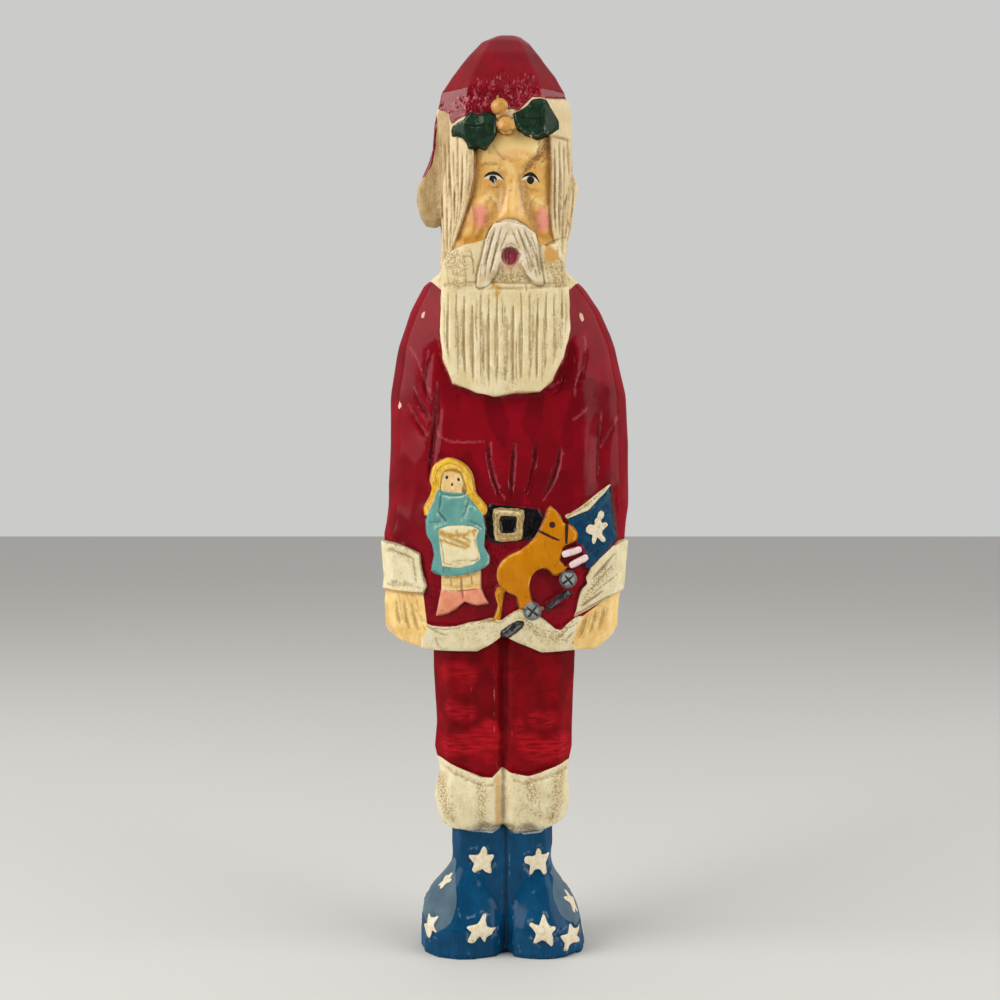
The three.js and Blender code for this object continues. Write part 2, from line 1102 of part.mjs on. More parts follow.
function dollCuts(cut) {
  const lines = [
    [
      [-67, 498],
      [-68, 510],
      [-62, 517],
      [-55, 518],
      [-47, 515],
      [-44, 507],
      [-44, 495],
    ],
    [
      [-68, 493],
      [-69, 484],
      [-68, 476],
    ],
    [
      [-72, 475],
      [-66, 468],
      [-60, 462],
    ],
    [
      [-38, 488],
      [-43, 476],
      [-47, 464],
    ],
    [
      [-42, 467],
      [-32, 462],
      [-24, 458],
    ],
    [
      [-47, 405],
      [-46, 392],
      [-45, 380],
    ],
    [
      [-66, 422],
      [-48, 421],
      [-33, 426],
    ],
  ];
  return lines.map((path) => cut(path, knifeWidth, knifeDepth));
}

// The furrow between the legs, front and back, and the shallower one between the boots
function legCuts(cut) {
  const middle = -2;
  const upper = [
    [middle, 350],
    [middle, 214],
    [middle, 196],
    [middle, 184],
    [middle, 160],
    [middle, 140],
    [middle, 134],
  ];
  const lower = [
    [middle + 3, 136],
    [middle + 3, 90],
    [middle + 3, 40],
    [middle + 3, -6],
  ];
  return [-1, 1].flatMap((facing) => [
    cut(upper, legFurrowWidth, legFurrowDepth, { facing, through: true }),
    cut(lower, foldWidth, foldDepth, { facing, through: true }),
  ]);
}

// The whole carving. Chips that a cut frees fall away.
function santa() {
  const mouthFloor = -halfDepth * 0.76 - moustacheRelief + mouthDepth;
  const lips = plug(6, 746, mouthRadius, -halfDepth, mouthFloor);
  const block = joined([coat(), head(), moustache(), holly(), legs()]).subtract(lips);
  const cut = cutter(block);
  const cuts = [hairCuts, beardCuts, coatCuts, dollCuts].flatMap((make) => make(cut));
  const carved = cuts.reduce((wood, groove) => wood.subtract(groove), block);
  const [whole] = carved.decompose().sort((a, b) => b.volume() - a.volume());
  return geometryOf(whole);
}

const paintedWood = new THREE.MeshStandardMaterial({
  color: "#8a1420",
  roughness: 0.32,
  metalness: 0,
});

const figure = new THREE.Group();
const carving = new THREE.Mesh(santa(), paintedWood);
carving.name = "carved_santa_figure";
figure.add(carving);

export default figure;
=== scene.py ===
import math

import bmesh
import bpy
import mathutils
import numpy as np
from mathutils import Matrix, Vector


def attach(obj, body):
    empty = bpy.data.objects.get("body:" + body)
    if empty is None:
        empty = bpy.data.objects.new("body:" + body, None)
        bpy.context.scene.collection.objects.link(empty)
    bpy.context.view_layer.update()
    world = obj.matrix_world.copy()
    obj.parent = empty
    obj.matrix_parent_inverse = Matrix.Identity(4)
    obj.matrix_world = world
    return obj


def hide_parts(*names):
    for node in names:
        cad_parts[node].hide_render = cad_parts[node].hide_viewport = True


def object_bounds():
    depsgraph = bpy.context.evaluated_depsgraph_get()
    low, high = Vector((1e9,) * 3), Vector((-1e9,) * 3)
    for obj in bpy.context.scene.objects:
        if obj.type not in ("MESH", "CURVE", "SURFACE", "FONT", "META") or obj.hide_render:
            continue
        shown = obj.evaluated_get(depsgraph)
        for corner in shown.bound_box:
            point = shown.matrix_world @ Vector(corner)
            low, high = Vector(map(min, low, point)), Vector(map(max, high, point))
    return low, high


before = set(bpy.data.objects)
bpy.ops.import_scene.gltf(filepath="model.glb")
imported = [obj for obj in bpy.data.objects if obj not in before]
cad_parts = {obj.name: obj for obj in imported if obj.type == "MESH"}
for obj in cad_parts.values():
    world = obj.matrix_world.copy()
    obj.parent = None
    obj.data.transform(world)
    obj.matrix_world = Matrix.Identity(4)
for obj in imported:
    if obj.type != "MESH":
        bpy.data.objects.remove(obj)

# The figure is one block of basswood, carved and painted. Its solid is copied and remeshed finely,
# the small cuts go in, and each paint is a material of its own with a border cut into the mesh.
# Places are in thousandths of the figure's height: x across from the middle, z up from the sole.
# Tool marks are in millimetres.
cadLow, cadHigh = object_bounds()
grid = (cadHigh.z - cadLow.z) / 1000
mm = 0.001
rng = np.random.default_rng(24)

wood = {
    "merge": 0.002,  # mm, corners of the solid nearer than this are one
    "voxel": 0.5,  # mm, finer than the narrowest cut
    "soften": 2,  # passes, as thick paint takes the saw edge off the raised forms
    "triangles": 162000,  # before the borders of the paint are cut in
    "flatSole": 0.35,  # mm
    "turned": 0.2,  # a cut reaches what faces its side by this much: 0 is edge on, 1 square on
}

# The front and back are drawn across and up, the two sides deep and up. For each side: the axis that
# it is seen along, and which way it faces. A side "round" is the whole block seen from the front
facing = {"front": (1, -1), "back": (1, 1), "left": (0, -1), "right": (0, 1)}
areas = []  # what is painted, in order: paint, outline, side, tremble of the brush
strokes = []  # dry-brushed marks, some of them painted highlights and painted shade: attribute, path, width, strength, side


def area(paint, outline, side="front", tremble=0.1):
    areas.append((paint, np.array(outline, float), side, tremble))


def stroke(kind, path, width, strength=1.0, side="front"):
    strokes.append((kind, np.array(path, float), width, strength, side))


def dryBrush(kind, marks):
    # Several curved marks of one colour on the front: path, width, strength
    for path, width, strength in marks:
        stroke(kind, smoothPath(path), width, strength)


def drawn(points, side):
    # The points' places on the drawing of that side
    return points[:, (1, 2) if side in ("left", "right") else (0, 2)] / grid


def nearPath(spots, normals, path, reach, side, turned):
    # Which drawn spots lie near a path, on the side of the block that the path is drawn on
    near = np.all((spots > path.min(axis=0) - reach) & (spots < path.max(axis=0) + reach), axis=1)
    if side in facing:
        axis, sign = facing[side]
        near &= normals[:, axis] * sign > turned
    return np.flatnonzero(near)


def smoothPath(points, closed=False, steps=6):
    # Catmull-Rom curve through a few points
    p = np.array(points, float)
    if len(p) < 3:
        return p
    if closed:
        p = np.vstack([p[-1], p, p[0], p[1]])
    else:
        p = np.vstack([2 * p[0] - p[1], p, 2 * p[-1] - p[-2]])
    t = np.linspace(0, 1, steps, endpoint=False)[:, None]
    bits = []
    for a, b, c, d in zip(p[:-3], p[1:-2], p[2:-1], p[3:]):
        bend = (2 * a - 5 * b + 4 * c - d) * t**2 + (3 * b - a - 3 * c + d) * t**3
        bits.append(0.5 * (2 * b + (c - a) * t + bend))
    curve = np.vstack(bits)
    return curve if closed else np.vstack([curve, p[-2]])


def distanceToPath(spots, path):
    # How far each spot is from a path, and how far along it, from 0 to 1
    path = np.asarray(path, float)
    lengths = np.linalg.norm(np.diff(path, axis=0), axis=1)
    total = max(lengths.sum(), 1e-9)
    best = np.full(len(spots), 1e9)
    share = np.zeros(len(spots))
    gone = 0.0
    for a, b, length in zip(path[:-1], path[1:], lengths):
        step = b - a
        t = np.clip(((spots - a) @ step) / max(length**2, 1e-12), 0, 1)
        d = np.hypot(*(spots - a - t[:, None] * step).T)
        nearer = d < best
        best[nearer] = d[nearer]
        share[nearer] = (gone + t[nearer] * length) / total
        gone += length
    return best, share


def signedDistance(spots, outline):
    # Distance to a closed outline, negative inside it
    ring = np.vstack([outline, outline[0]])
    d, _ = distanceToPath(spots, ring)
    inside = np.zeros(len(spots), bool)
    x, z = spots.T
    for (x0, z0), (x1, z1) in zip(ring[:-1], ring[1:]):
        if z0 != z1:
            inside ^= ((z0 > z) != (z1 > z)) & (x < (x1 - x0) * (z - z0) / (z1 - z0) + x0)
    return np.where(inside, -d, d)


def smoothStep(value):
    t = np.clip(value, 0, 1)
    return t * t * (3 - 2 * t)


def shakyHand(points):
    # A brushed border is never quite straight: a slow wander and a small tremble, about 1 high
    x, y, z = points.T / mm
    slow = np.sin(x / 1.9 + 1.3 * np.sin(z / 2.7)) + np.sin(z / 1.6 + 1.1 * np.sin(x / 2.3 + y / 3))
    quick = np.sin(x * 2.9 + z * 1.7) * np.sin(z * 3.3 - x * 1.1)
    return 0.4 * slow + 0.3 * quick


def star(x, z, radius, turn=0.0, narrow=1.0, lean=0.0, waist=0.54, blunt=8):
    # A star cut by hand, its arms blunt and a little uneven
    corners = []
    for i in range(10):
        arm = i % 2 == 0
        reach = radius * (1 if arm else waist) * (1 + 0.08 * math.sin(3.1 * i + x + z))
        for step in ((-blunt, blunt) if arm else (0,)):
            angle = math.radians(90 + turn + i * 36 + step)
            along, up = reach * math.cos(angle), reach * math.sin(angle)
            corners.append((x + along * narrow + up * lean, z + up))
    return corners


def disc(x, z, radius, narrow=1.0):
    angles = np.linspace(0, 2 * math.pi, 16, endpoint=False)
    return [(x + radius * narrow * math.cos(a), z + radius * math.sin(a)) for a in angles]


def bar(start, end, width, taper=1.0):
    # A strip between two places with blunt round ends, its far end narrower by the taper
    (x0, z0), (x1, z1) = start, end
    length = math.hypot(x1 - x0, z1 - z0)
    ux, uz = (x1 - x0) / length * width / 2, (z1 - z0) / length * width / 2
    near = [(x0 - uz, z0 + ux), (x0 - ux * 0.7, z0 - uz * 0.7), (x0 + uz, z0 - ux)]
    tx, tz = ux * taper, uz * taper
    far = [(x1 + tz, z1 - tx), (x1 + tx * 0.7, z1 + tz * 0.7), (x1 - tz, z1 + tx)]
    return near + far


# The wood: a fine even mesh of the solid

def denseCopy(node):
    mesh = node.data.copy()
    merged = bmesh.new()
    merged.from_mesh(mesh)
    bmesh.ops.remove_doubles(merged, verts=merged.verts, dist=wood["merge"] * mm)
    merged.to_mesh(mesh)
    merged.free()
    mesh.materials.clear()
    figure = bpy.data.objects.new("carved_santa", mesh)
    bpy.context.scene.collection.objects.link(figure)
    remesh = figure.modifiers.new("fine wood", "REMESH")
    remesh.mode = "VOXEL"
    remesh.voxel_size = wood["voxel"] * mm
    soften = figure.modifiers.new("soften", "SMOOTH")
    soften.factor = 0.5
    soften.iterations = wood["soften"]
    settle(figure)
    return figure


def settle(figure):
    # What the modifiers show becomes the mesh
    graph = bpy.context.evaluated_depsgraph_get()
    made = bpy.data.meshes.new_from_object(figure.evaluated_get(graph))
    figure.modifiers.clear()
    old = figure.data
    figure.data = made
    bpy.data.meshes.remove(old)


def readArray(source, name, width, kind=float):
    values = np.empty(len(source) * width, kind)
    source.foreach_get(name, values)
    return values.reshape(-1, width) if width > 1 else values


def openBlock(figure):
    # The vertices as arrays: places, directions, and places on the drawings
    points = readArray(figure.data.vertices, "co", 3)
    normals = readArray(figure.data.vertices, "normal", 3)
    drawings = {side: drawn(points, side) for side in ("front", "left")}
    drawings.update(back=drawings["front"], round=drawings["front"], right=drawings["left"])
    return {"points": points, "normals": normals, "drawings": drawings, "facet": np.full(len(points), 0.5)}


def trim(figure, points):
    # No point leaves the block that was sawn, and the sole is flat
    points = np.clip(points, cadLow, cadHigh)
    points[points[:, 2] < wood["flatSole"] * mm, 2] = cadLow.z
    figure.data.vertices.foreach_set("co", points.ravel())
    figure.data.update()


def within(block, path, reach, side):
    return nearPath(block["drawings"][side], block["normals"], path, reach, side, wood["turned"])


def cut(block, path, width, depth, side="front", fade=0.2, gouge=False):
    # A V tool's cut along a path, or a gouge's, dying away at both ends
    path = np.asarray(path, float)
    reach = width * mm / grid / 2
    near = within(block, path, reach, side)
    if not len(near):
        return
    d, share = distanceToPath(block["drawings"][side][near], path)
    across = np.clip(1 - d / reach, 0, 1)
    shape = np.sqrt(1 - (1 - across) ** 2) if gouge else across
    if fade:
        shape = shape * smoothStep(np.minimum(share, 1 - share) / fade)
    block["points"][near] -= block["normals"][near] * (depth * mm * shape)[:, None]


def grooves(block, tool, paths, fade=0.2, gouge=False):
    # Cuts along several curves on the front with one tool: how wide and deep it cuts, in mm
    for path in paths:
        cut(block, smoothPath(path), *tool, fade=fade, gouge=gouge)


def neighbourAverage(values, edges, counts, rounds):
    for _ in range(rounds):
        total = np.zeros_like(values)
        for axis in range(3):
            total[:, axis] = np.bincount(edges[:, 0], values[edges[:, 1], axis], len(values))
            total[:, axis] += np.bincount(edges[:, 1], values[edges[:, 0], axis], len(values))
        values = 0.5 * values + 0.5 * total / counts[:, None]
    return values


shaving = {
    "facets": 460,
    "size": 12.0,  # mm, about half a facet
    "depth": 0.55,  # mm
    "uneven": 12,  # mm2, how far the ridge between two facets strays
    "tall": 0.55,  # heights count this much, so the facets are longer than wide
    "smooth": (745, 905),  # the head between these heights is left as it is
    "fade": 12,  # height over which the facets come in above and below it
}


def shave(block):
    # Each facet is a shallow scoop round its own middle and meets the next at a low ridge. The paint
    # lies a little thicker on some than on others, so each keeps a tone
    squeezed = block["points"] / mm * (1, 1, shaving["tall"])
    middles = squeezed[rng.choice(len(squeezed), shaving["facets"], replace=False)]
    nearest = np.full(len(squeezed), shaving["size"] ** 2)
    for middle in middles:
        near = np.flatnonzero(np.abs(squeezed[:, 2] - middle[2]) < shaving["size"])
        away = ((squeezed[near] - middle) ** 2).sum(axis=1) + rng.uniform(0, shaving["uneven"])
        closer = away < nearest[near]
        nearest[near[closer]] = away[closer]
        block["facet"][near[closer]] = rng.uniform(0, 1)
    low, high = shaving["smooth"]
    height = block["drawings"]["front"][:, 1]
    fade = shaving["fade"]
    shaved = np.maximum(smoothStep((low - height) / fade), smoothStep((height - high) / fade))
    hollow = shaving["depth"] * mm * shaved * (1 - nearest / shaving["size"] ** 2)
    block["points"] -= block["normals"] * hollow[:, None]


# Where the knife left no crease between one plane and the next: rounds of smoothing, the heights over
# which they come in and go out, and a middle line kept sharp with the distances where they start
blending = {
    "boots": (170, (16, 40), (98, 114), (-3, 9, 16)),
    "trousers": (50, (224, 238), (306, 318), (-3, 13, 22)),
    "arms": (90, (448, 466), (690, 716), (0, 84, 94)),
    "hair": (50, (796, 806), (852, 866), (0, 68, 71)),
    "hat": (8, (926, 940), (1100, 1110), (0, -2, -1)),
}


def blend(figure, block):
    x, z = block["drawings"]["front"].T
    allEdges = readArray(figure.data.edges, "vertices", 2, np.int32)
    for rounds, low, high, (middle, start, end) in blending.values():
        amount = smoothStep((z - low[0]) / (low[1] - low[0]))
        amount *= smoothStep((high[1] - z) / (high[1] - high[0]))
        amount *= smoothStep((np.abs(x - middle) - start) / (end - start))
        reached = allEdges[np.all(amount[allEdges] > 0, axis=1)]
        used, edges = np.unique(reached, return_inverse=True)
        edges = edges.reshape(reached.shape)
        points = block["points"][used]
        smoothed = neighbourAverage(points, edges, np.bincount(edges.ravel()), rounds)
        block["points"][used] += (smoothed - points) * amount[used, None]


def stand(block, outline, height, slope, side="front"):
    # Wood left standing by its height inside an outline, with its edge as wide as the slope
    outline = np.asarray(outline, float)
    reach = slope * mm / grid
    near = within(block, outline, reach, side)
    d = signedDistance(block["drawings"][side][near], outline) / reach
    block["points"][near] += block["normals"][near] * (height * mm * smoothStep(0.5 - d))[:, None]


nicking = {
    "lengths": (0.6, 1.3),  # shares of the length and depth asked for, from the least to the most
    "depths": (0.5, 1.2),
    "fade": 0.45,
    "tries": 3,  # places tried for each nick, as some fall outside the outline
}


def nicks(block, outline, count, length, width, depth, tilt=90.0, spread=25.0, side="front"):
    # Short knife nicks inside an outline, about one way: count, then mm
    outline = np.asarray(outline, float)
    low, high = outline.min(axis=0), outline.max(axis=0)
    places = rng.uniform(low, high, (count * nicking["tries"], 2))
    places = places[signedDistance(places, outline) < 0][:count]
    angles = np.radians(tilt + rng.normal(0, spread, len(places)))
    halves = rng.uniform(*nicking["lengths"], len(places)) * length * mm / grid / 2
    deeps = rng.uniform(*nicking["depths"], len(places)) * depth
    for place, angle, half, deep in zip(places, angles, halves, deeps):
        step = np.array([math.cos(angle), math.sin(angle)]) * half
        cut(block, [place - step, place, place + step], width, deep, side, nicking["fade"])


# Hat, hair and holly

hatEdge = [(120, 924), (62, 920), (43, 916), (29, 917), (14, 902), (6, 904), (-11, 897), (-44, 896),
           (-58, 890), (-61, 901), (-72, 909), (-77, 915), (-120, 915)]
head = {
    "hatNicks": (380, 3.6, 1.0, 0.34),  # count, then mm: long, wide, deep
    "hatGlints": 70,  # painted glints: places tried, where across and up, and how far each mark runs
    "glintPlaces": ((-60, 36), (898, 938)),
    "glintRuns": ((-2, 2), (3, 8)),
    "brimCut": (1.2, 0.4),  # mm: wide, deep
    "lockFlute": (1.3, 0.55),
    "leafEdge": (1.1, 0.4),
    "leafVein": (0.8, 0.45),
}
backHair = [(-120, 876), (120, 876), (120, 742), (78, 728), (66, 712), (52, 702), (38, 706), (24, 697),
            (8, 702), (-8, 696), (-24, 703), (-40, 699), (-54, 706), (-67, 714), (-78, 730), (-120, 742)]
leftLocks = [[(-70, 884), (-69.5, 850), (-68, 800), (-66, 752)],
             [(-65, 876), (-64.5, 850), (-63, 800), (-63, 748)],
             [(-60.5, 884), (-60, 845), (-58, 800), (-60, 752)],
             [(-56, 866), (-55.5, 840), (-54.5, 800), (-58, 758)],
             [(-51, 880), (-51, 850), (-51, 806), (-56, 766)],
             [(-46, 862), (-46, 836), (-47.5, 806), (-53, 776)],
             [(-41, 860), (-41, 838), (-43.5, 812), (-49, 788)]]
rightLocks = [[(53, 868), (53.5, 838), (53, 806), (55, 774)],
              [(58, 876), (59, 840), (58, 800), (60, 764)],
              [(63, 872), (64, 840), (63.5, 800), (62.5, 762)],
              [(67.5, 878), (69, 838), (68, 800), (65, 764)],
              [(72, 864), (74, 836), (73, 805), (69, 772)]]


def hat(block):
    rough = [(-62, 903), (-54, 915), (-34, 930), (-17, 946), (8, 952), (27, 944), (38, 926), (29, 918),
             (14, 904), (5, 906), (2, 915), (-7, 921), (-15, 914), (-15, 900), (-44, 899)]
    wedge = [(-76, 912), (-73, 925), (-62, 905), (-70, 908)]
    count, length, width, depth = head["hatNicks"]
    low = [(x, z) for x, z in rough if z < 931]
    nicks(block, rough, count // 2, length, width, depth, tilt=82, spread=16)
    nicks(block, low, count // 2, length, width, depth, tilt=75, spread=30)
    # painted glints: short pale dashes over the hat's rough
    for _ in range(head["hatGlints"]):
        x, z = (rng.uniform(*span) for span in head["glintPlaces"])
        if signedDistance(np.array([(x, z)]), np.array(rough, float))[0] < 0:
            dx, dz = (rng.uniform(*span) for span in head["glintRuns"])
            stroke("pale", [(x, z), (x + dx, z + dz)], 1.3, 0.7)
    # a painted highlight along the hat's lower edge
    stroke("pale", smoothPath([(x, z + 1.5) for x, z in hatEdge[1:9]]), 1.8, 0.5)
    nicks(block, wedge, 14, length * 0.5, width, depth, spread=40)
    cut(block, smoothPath(hatEdge[1:9]), *head["brimCut"], fade=0.03)
    headAll = [(-120, 1010), (120, 1010), (120, 740), (76, 727), (69, 717), (-69, 717), (-78, 724),
               (-120, 740)]
    area("creamHair", headAll, "round")
    area("creamHair", backHair, "back", 0.15)
    area("hatRed", [(-120, 1020), (120, 1020), (120, 928), (-120, 928)], "round")
    area("hatRed", [(-120, 1020), (120, 1020)] + hatEdge, "front", 0.22)
    area("hatRed", [(-120, 1020), (120, 1020), (120, 922), (-120, 912)], "back", 0.22)
    area("hatRed", [(-22.5, 926), (20, 926), (20, 835), (-22.5, 835)], "left", 0.2)


def hair(block):
    width, depth = head["lockFlute"]
    for path in leftLocks + rightLocks:
        cut(block, smoothPath(path), width, depth, fade=0.1)
        stroke("brown", smoothPath(path), 2.4, 0.35)
    # painted shade: a brown band along the left lock's inner edge, where it stands over the face
    stroke("brown", smoothPath([(-37, 866), (-38, 830), (-43, 800), (-53, 770), (-61, 750)]), 4.5, 0.8)
    for x in (-75, -66.5, -47.5, -28.5, -9.5, 9.5, 28.5, 47.5, 66.5):
        cut(block, smoothPath([(x, 868), (x * 0.95, 800), (x * 0.9, 725)]), width, depth, "back")
        stroke("brown", smoothPath([(x, 866), (x * 0.95, 800), (x * 0.9, 722)]), 2.6, 0.4, "back")
    for y in (-32, -21, -10, 1, 12, 23, 34):
        path = smoothPath([(y, 872 - y % 7), (y + 3, 836), (y - 1, 796), (y + 2, 760), (y, 732 + y % 5)])
        below = path[path[:, 1] < 782] if y < 20 else path  # the hat's tip hangs over the rest
        for side, lock in (("right", path), ("left", below)):
            cut(block, lock, width, depth, side)
            stroke("brown", lock, 2.6, 0.4, side)


def tail(block):
    fur = [(-72, 909), (-60, 901), (-59.6, 879), (-61.7, 858), (-67, 830), (-68.6, 790), (-82.6, 784),
           (-95.7, 800), (-99, 815), (-92.3, 830), (-85.3, 840), (-79, 853), (-75.6, 872), (-74.2, 893)]
    bobble = [(-22.5, 838), (20, 838), (20, 784), (-22.5, 784)]
    nicks(block, fur, 36, 1.6, 1.2, 0.16, spread=80)
    nicks(block, bobble, 60, 1.8, 1.2, 0.2, spread=80, side="left")
    # the fur band and bobble painted tan: painted shade on the cream fur
    area("tanFur", bobble, "left", 0.2)
    area("tanFur", fur, "front", 0.2)
    stroke("brown", [(-90, 822), (-84, 806), (-80, 796)], 9, 0.35)
    stroke("brown", [(-80, 850), (-76, 830)], 7, 0.35)


def holly(block):
    leftLeaf = [(-57, 883), (-55, 888), (-49, 890), (-44, 892), (-37, 900), (-30, 897), (-25, 898),
                (-20, 900), (-11, 897), (-9, 889), (-10, 878), (-14, 871), (-18, 866), (-21, 861),
                (-28, 864), (-33, 861), (-39, 862), (-41, 868), (-45, 873), (-50, 876), (-56, 877)]
    rightLeaf = [(9, 898), (18, 902), (24, 906), (29, 913), (38, 914), (44, 913), (48, 905), (52, 900),
                 (57, 893), (57, 885), (50, 879), (42, 876), (35, 873), (28, 875), (22, 877), (15, 882),
                 (11, 886)]
    width, depth = head["leafVein"]
    cut(block, smoothPath([(-43, 886), (-32, 884.5), (-19, 886)]), width * 1.5, depth * 1.6, fade=0.3)
    for vein in (
        [(12, 892), (26, 893), (44, 892)], [(38, 911), (37, 894), (38, 878)], [(17, 898), (24, 892)],
        [(47, 902), (40, 893)], [(27, 878), (35, 890)],
    ):
        cut(block, smoothPath(vein), width, depth, fade=0.3)
    nicks(block, rightLeaf, 34, 2.4, 0.8, 0.3, tilt=70)
    nicks(block, leftLeaf, 22, 2.2, 0.8, 0.22, tilt=20)
    for leaf in (leftLeaf, rightLeaf):
        cut(block, np.vstack([leaf, leaf[0]]), *head["leafEdge"], fade=0)
        middle = np.mean(leaf, axis=0)
        area("hollyGreen", middle + (leaf - middle) * 1.04)  # over the leaf's edge too
    area("berryOchre", disc(-6, 906, 9.6, 0.95), tremble=0.15)
    area("berryOchre", disc(0, 887.5, 9.4, 1.02), tremble=0.15)
    area("berryOchre", bar((-8, 914), (-8, 919), 3.5, 0.5))
    stroke("brown", [(-9, 893), (-3, 896), (5, 897)], 2.6, 0.9)
    stroke("brown", [(-8, 882), (0, 877), (9, 881)], 3.0, 1.0)


# The face

face = {
    "lid": 2.6,  # wide, at its middle
    "pupil": 4.5,
    "blush": 27,
    "crease": (1.8, 0.3),  # mm: wide, deep
    "underNose": (1.3, 0.5),
    "foreheadRise": (0.5, 3.5),  # mm: high, and wide at its slope
    "browMarks": (8, (19, 835), (3.4, 3.5), (7, 14)),  # how many, the first, the step, their run
    "white": (1.4, 5.2),  # how far an eye's white falls below the lid: at its ends, and more between
}
leftEye = {
    "lid": [(-24, 831.5), (-19, 836), (-12.5, 837.5), (-6, 835), (-0.5, 828.5)],
    "pupil": (-13, 831),
    "ends": (0.45, 0.4),  # how heavy the lid's line is at its two ends
}
rightEye = {
    "lid": [(17.5, 831), (22, 835), (28, 836.5), (33.5, 833.5), (37.5, 826.5)],
    "pupil": (27.5, 830),
    "ends": (0.3, 0.85),
}


def visage(block):
    skin = [(-33, 886), (47, 886), (50, 852), (50, 825), (49, 797), (51, 776), (54, 766), (38, 757),
            (33, 769), (22, 780), (3, 786), (-9, 784), (-18, 777), (-23, 768), (-29, 760), (-43, 758),
            (-56, 757), (-52, 770), (-44, 792), (-38, 811), (-34, 833)]
    stand(block, disc(11, 869, 21, 1.05), *face["foreheadRise"])
    grooves(block, face["crease"], [
        [(-20, 826), (-12, 822), (-4, 824)], [(20, 824), (28, 820), (36, 822)],
        [(-2, 836), (1, 818), (-3, 800), (-7, 788)], [(16, 836), (16, 818), (20, 800), (25, 788)],
        [(-22, 816), (-12, 806), (-8, 796)], [(36, 816), (28, 806), (25, 796)],
        [(-28, 849), (-14, 846), (-3, 848)], [(-10, 862), (-2, 852), (10, 849), (22, 852)],
    ], fade=0.35)
    cut(block, smoothPath([(-9, 784), (2, 787), (13, 785), (22, 780)]), *face["underNose"], fade=0.2)
    heavyBrow = [(16, 838), (26, 836), (50, 858), (48, 878), (34, 868)]
    nicks(block, heavyBrow, 40, 4.6, 1.0, 0.32, tilt=60, spread=12)
    nicks(block, [(-30, 884), (-12, 866), (-24, 846), (-34, 826)], 14, 3.0, 1.0, 0.14, tilt=80)
    area("faceFlesh", skin)
    # brown at the temples, beside and under the nose and under the cheeks: partly antiquing rubbed in,
    # partly painted shade
    dryBrush("brown", (
        ([(-31, 884), (-32, 850), (-35, 822), (-41, 795), (-50, 768)], 7, 1.0),
        ([(-25, 884), (-27, 860), (-30, 838), (-34, 812)], 9, 0.5),
        ([(47, 880), (49, 850), (49, 815), (49, 780)], 7, 0.9),
        ([(45, 868), (47, 840), (47, 806)], 11, 0.55),
        ([(-4, 836), (-6, 812), (-11, 796), (-18, 782)], 15, 0.5),
        ([(18, 832), (22, 808), (27, 794), (33, 780)], 16, 0.65),
        ([(-1, 832), (-2, 812), (-5, 794)], 3.4, 0.6),
        ([(16, 832), (18, 812), (22, 792)], 3.4, 0.7),
        ([(-14, 812), (-20, 802), (-18, 790)], 5, 0.35),
        ([(24, 814), (33, 804), (44, 800)], 5, 0.4),
        ([(-36, 806), (-32, 790), (-34, 774), (-44, 764)], 7, 0.55),
        ([(-20, 792), (-22, 780), (-30, 768)], 7, 0.6),
        ([(36, 796), (30, 784), (34, 772)], 6, 0.6),
        ([(50, 792), (48, 776), (52, 768)], 5, 0.7),
        ([(7, 834), (6, 818)], 2.4, 0.7),
        ([(-22, 823), (-13, 819), (-5, 822)], 4, 0.4),
        ([(20, 821), (28, 817), (37, 820)], 4, 0.4),
        ([(-12, 866), (-6, 856), (6, 851)], 4, 0.35),
        ([(-8, 783.5), (2, 785.6), (13, 784.4), (22, 780)], 2.4, 1.0),
        ([(-17, 777), (-8, 783)], 1.8, 0.7),
        ([(22, 780), (33, 769), (38, 758)], 2.0, 0.5),
    ))
    dryBrush("ochre", (
        ([(-48, 768), (-38, 764), (-28, 768)], 15, 1.0),
        ([(38, 772), (46, 768), (50, 776)], 11, 1.0),
        ([(46, 858), (47, 830), (47, 806)], 7, 0.8),
        ([(-31, 830), (-34, 812), (-40, 796)], 6, 0.8),
        ([(-16, 792), (-22, 784), (-26, 776)], 8, 0.8),
        ([(28, 796), (33, 786), (40, 778)], 6, 0.7),
    ))
    # the heavy brow on one side, dry-brushed in short marks over a wide soft one
    count, (left, foot), (across, up), (dx, dz) = face["browMarks"]
    for i in range(count):
        x, z = left + i * across, foot + i * up
        stroke("brown", [(x, z), (x + dx, z + dz)], 2.2, 1.0)
    dryBrush("brown", (
        ([(22, 842), (33, 853), (46, 866)], 14, 0.5),
        ([(34, 857), (42, 866), (46, 876)], 5, 0.5),
        ([(-26, 845), (-14, 848), (-4, 845)], 3.4, 0.5),
    ))
    # painted highlights on the forehead, down the nose, on the eyelids, below the eyes and along the brow's
    # foot
    dryBrush("pale", (
        ([(-8, 866), (10, 870), (32, 866)], 27, 1.0),
        ([(-26, 866), (-16, 850), (-6, 842)], 12, 0.6),
        ([(2, 848), (8, 838)], 12, 0.6),
        ([(8, 828), (8, 806), (8, 792)], 9, 0.55),
        ([(-26, 806), (-18, 812), (-10, 808)], 9, 0.9),
        ([(30, 810), (38, 804)], 9, 0.8),
        ([(-26, 852), (-8, 855), (12, 856), (24, 853)], 8, 0.7),
    ))
    stroke("blush", [(-27, 794), (-27, 788)], face["blush"], 1.0)
    stroke("blush", [(40.5, 791), (41, 783)], face["blush"] * 0.92, 1.0)
    for x, z in ((-8, 856), (2, 857), (14, 858)):
        stroke("blush", [(x, z), (x + 9, z - 1)], 7, 0.4)


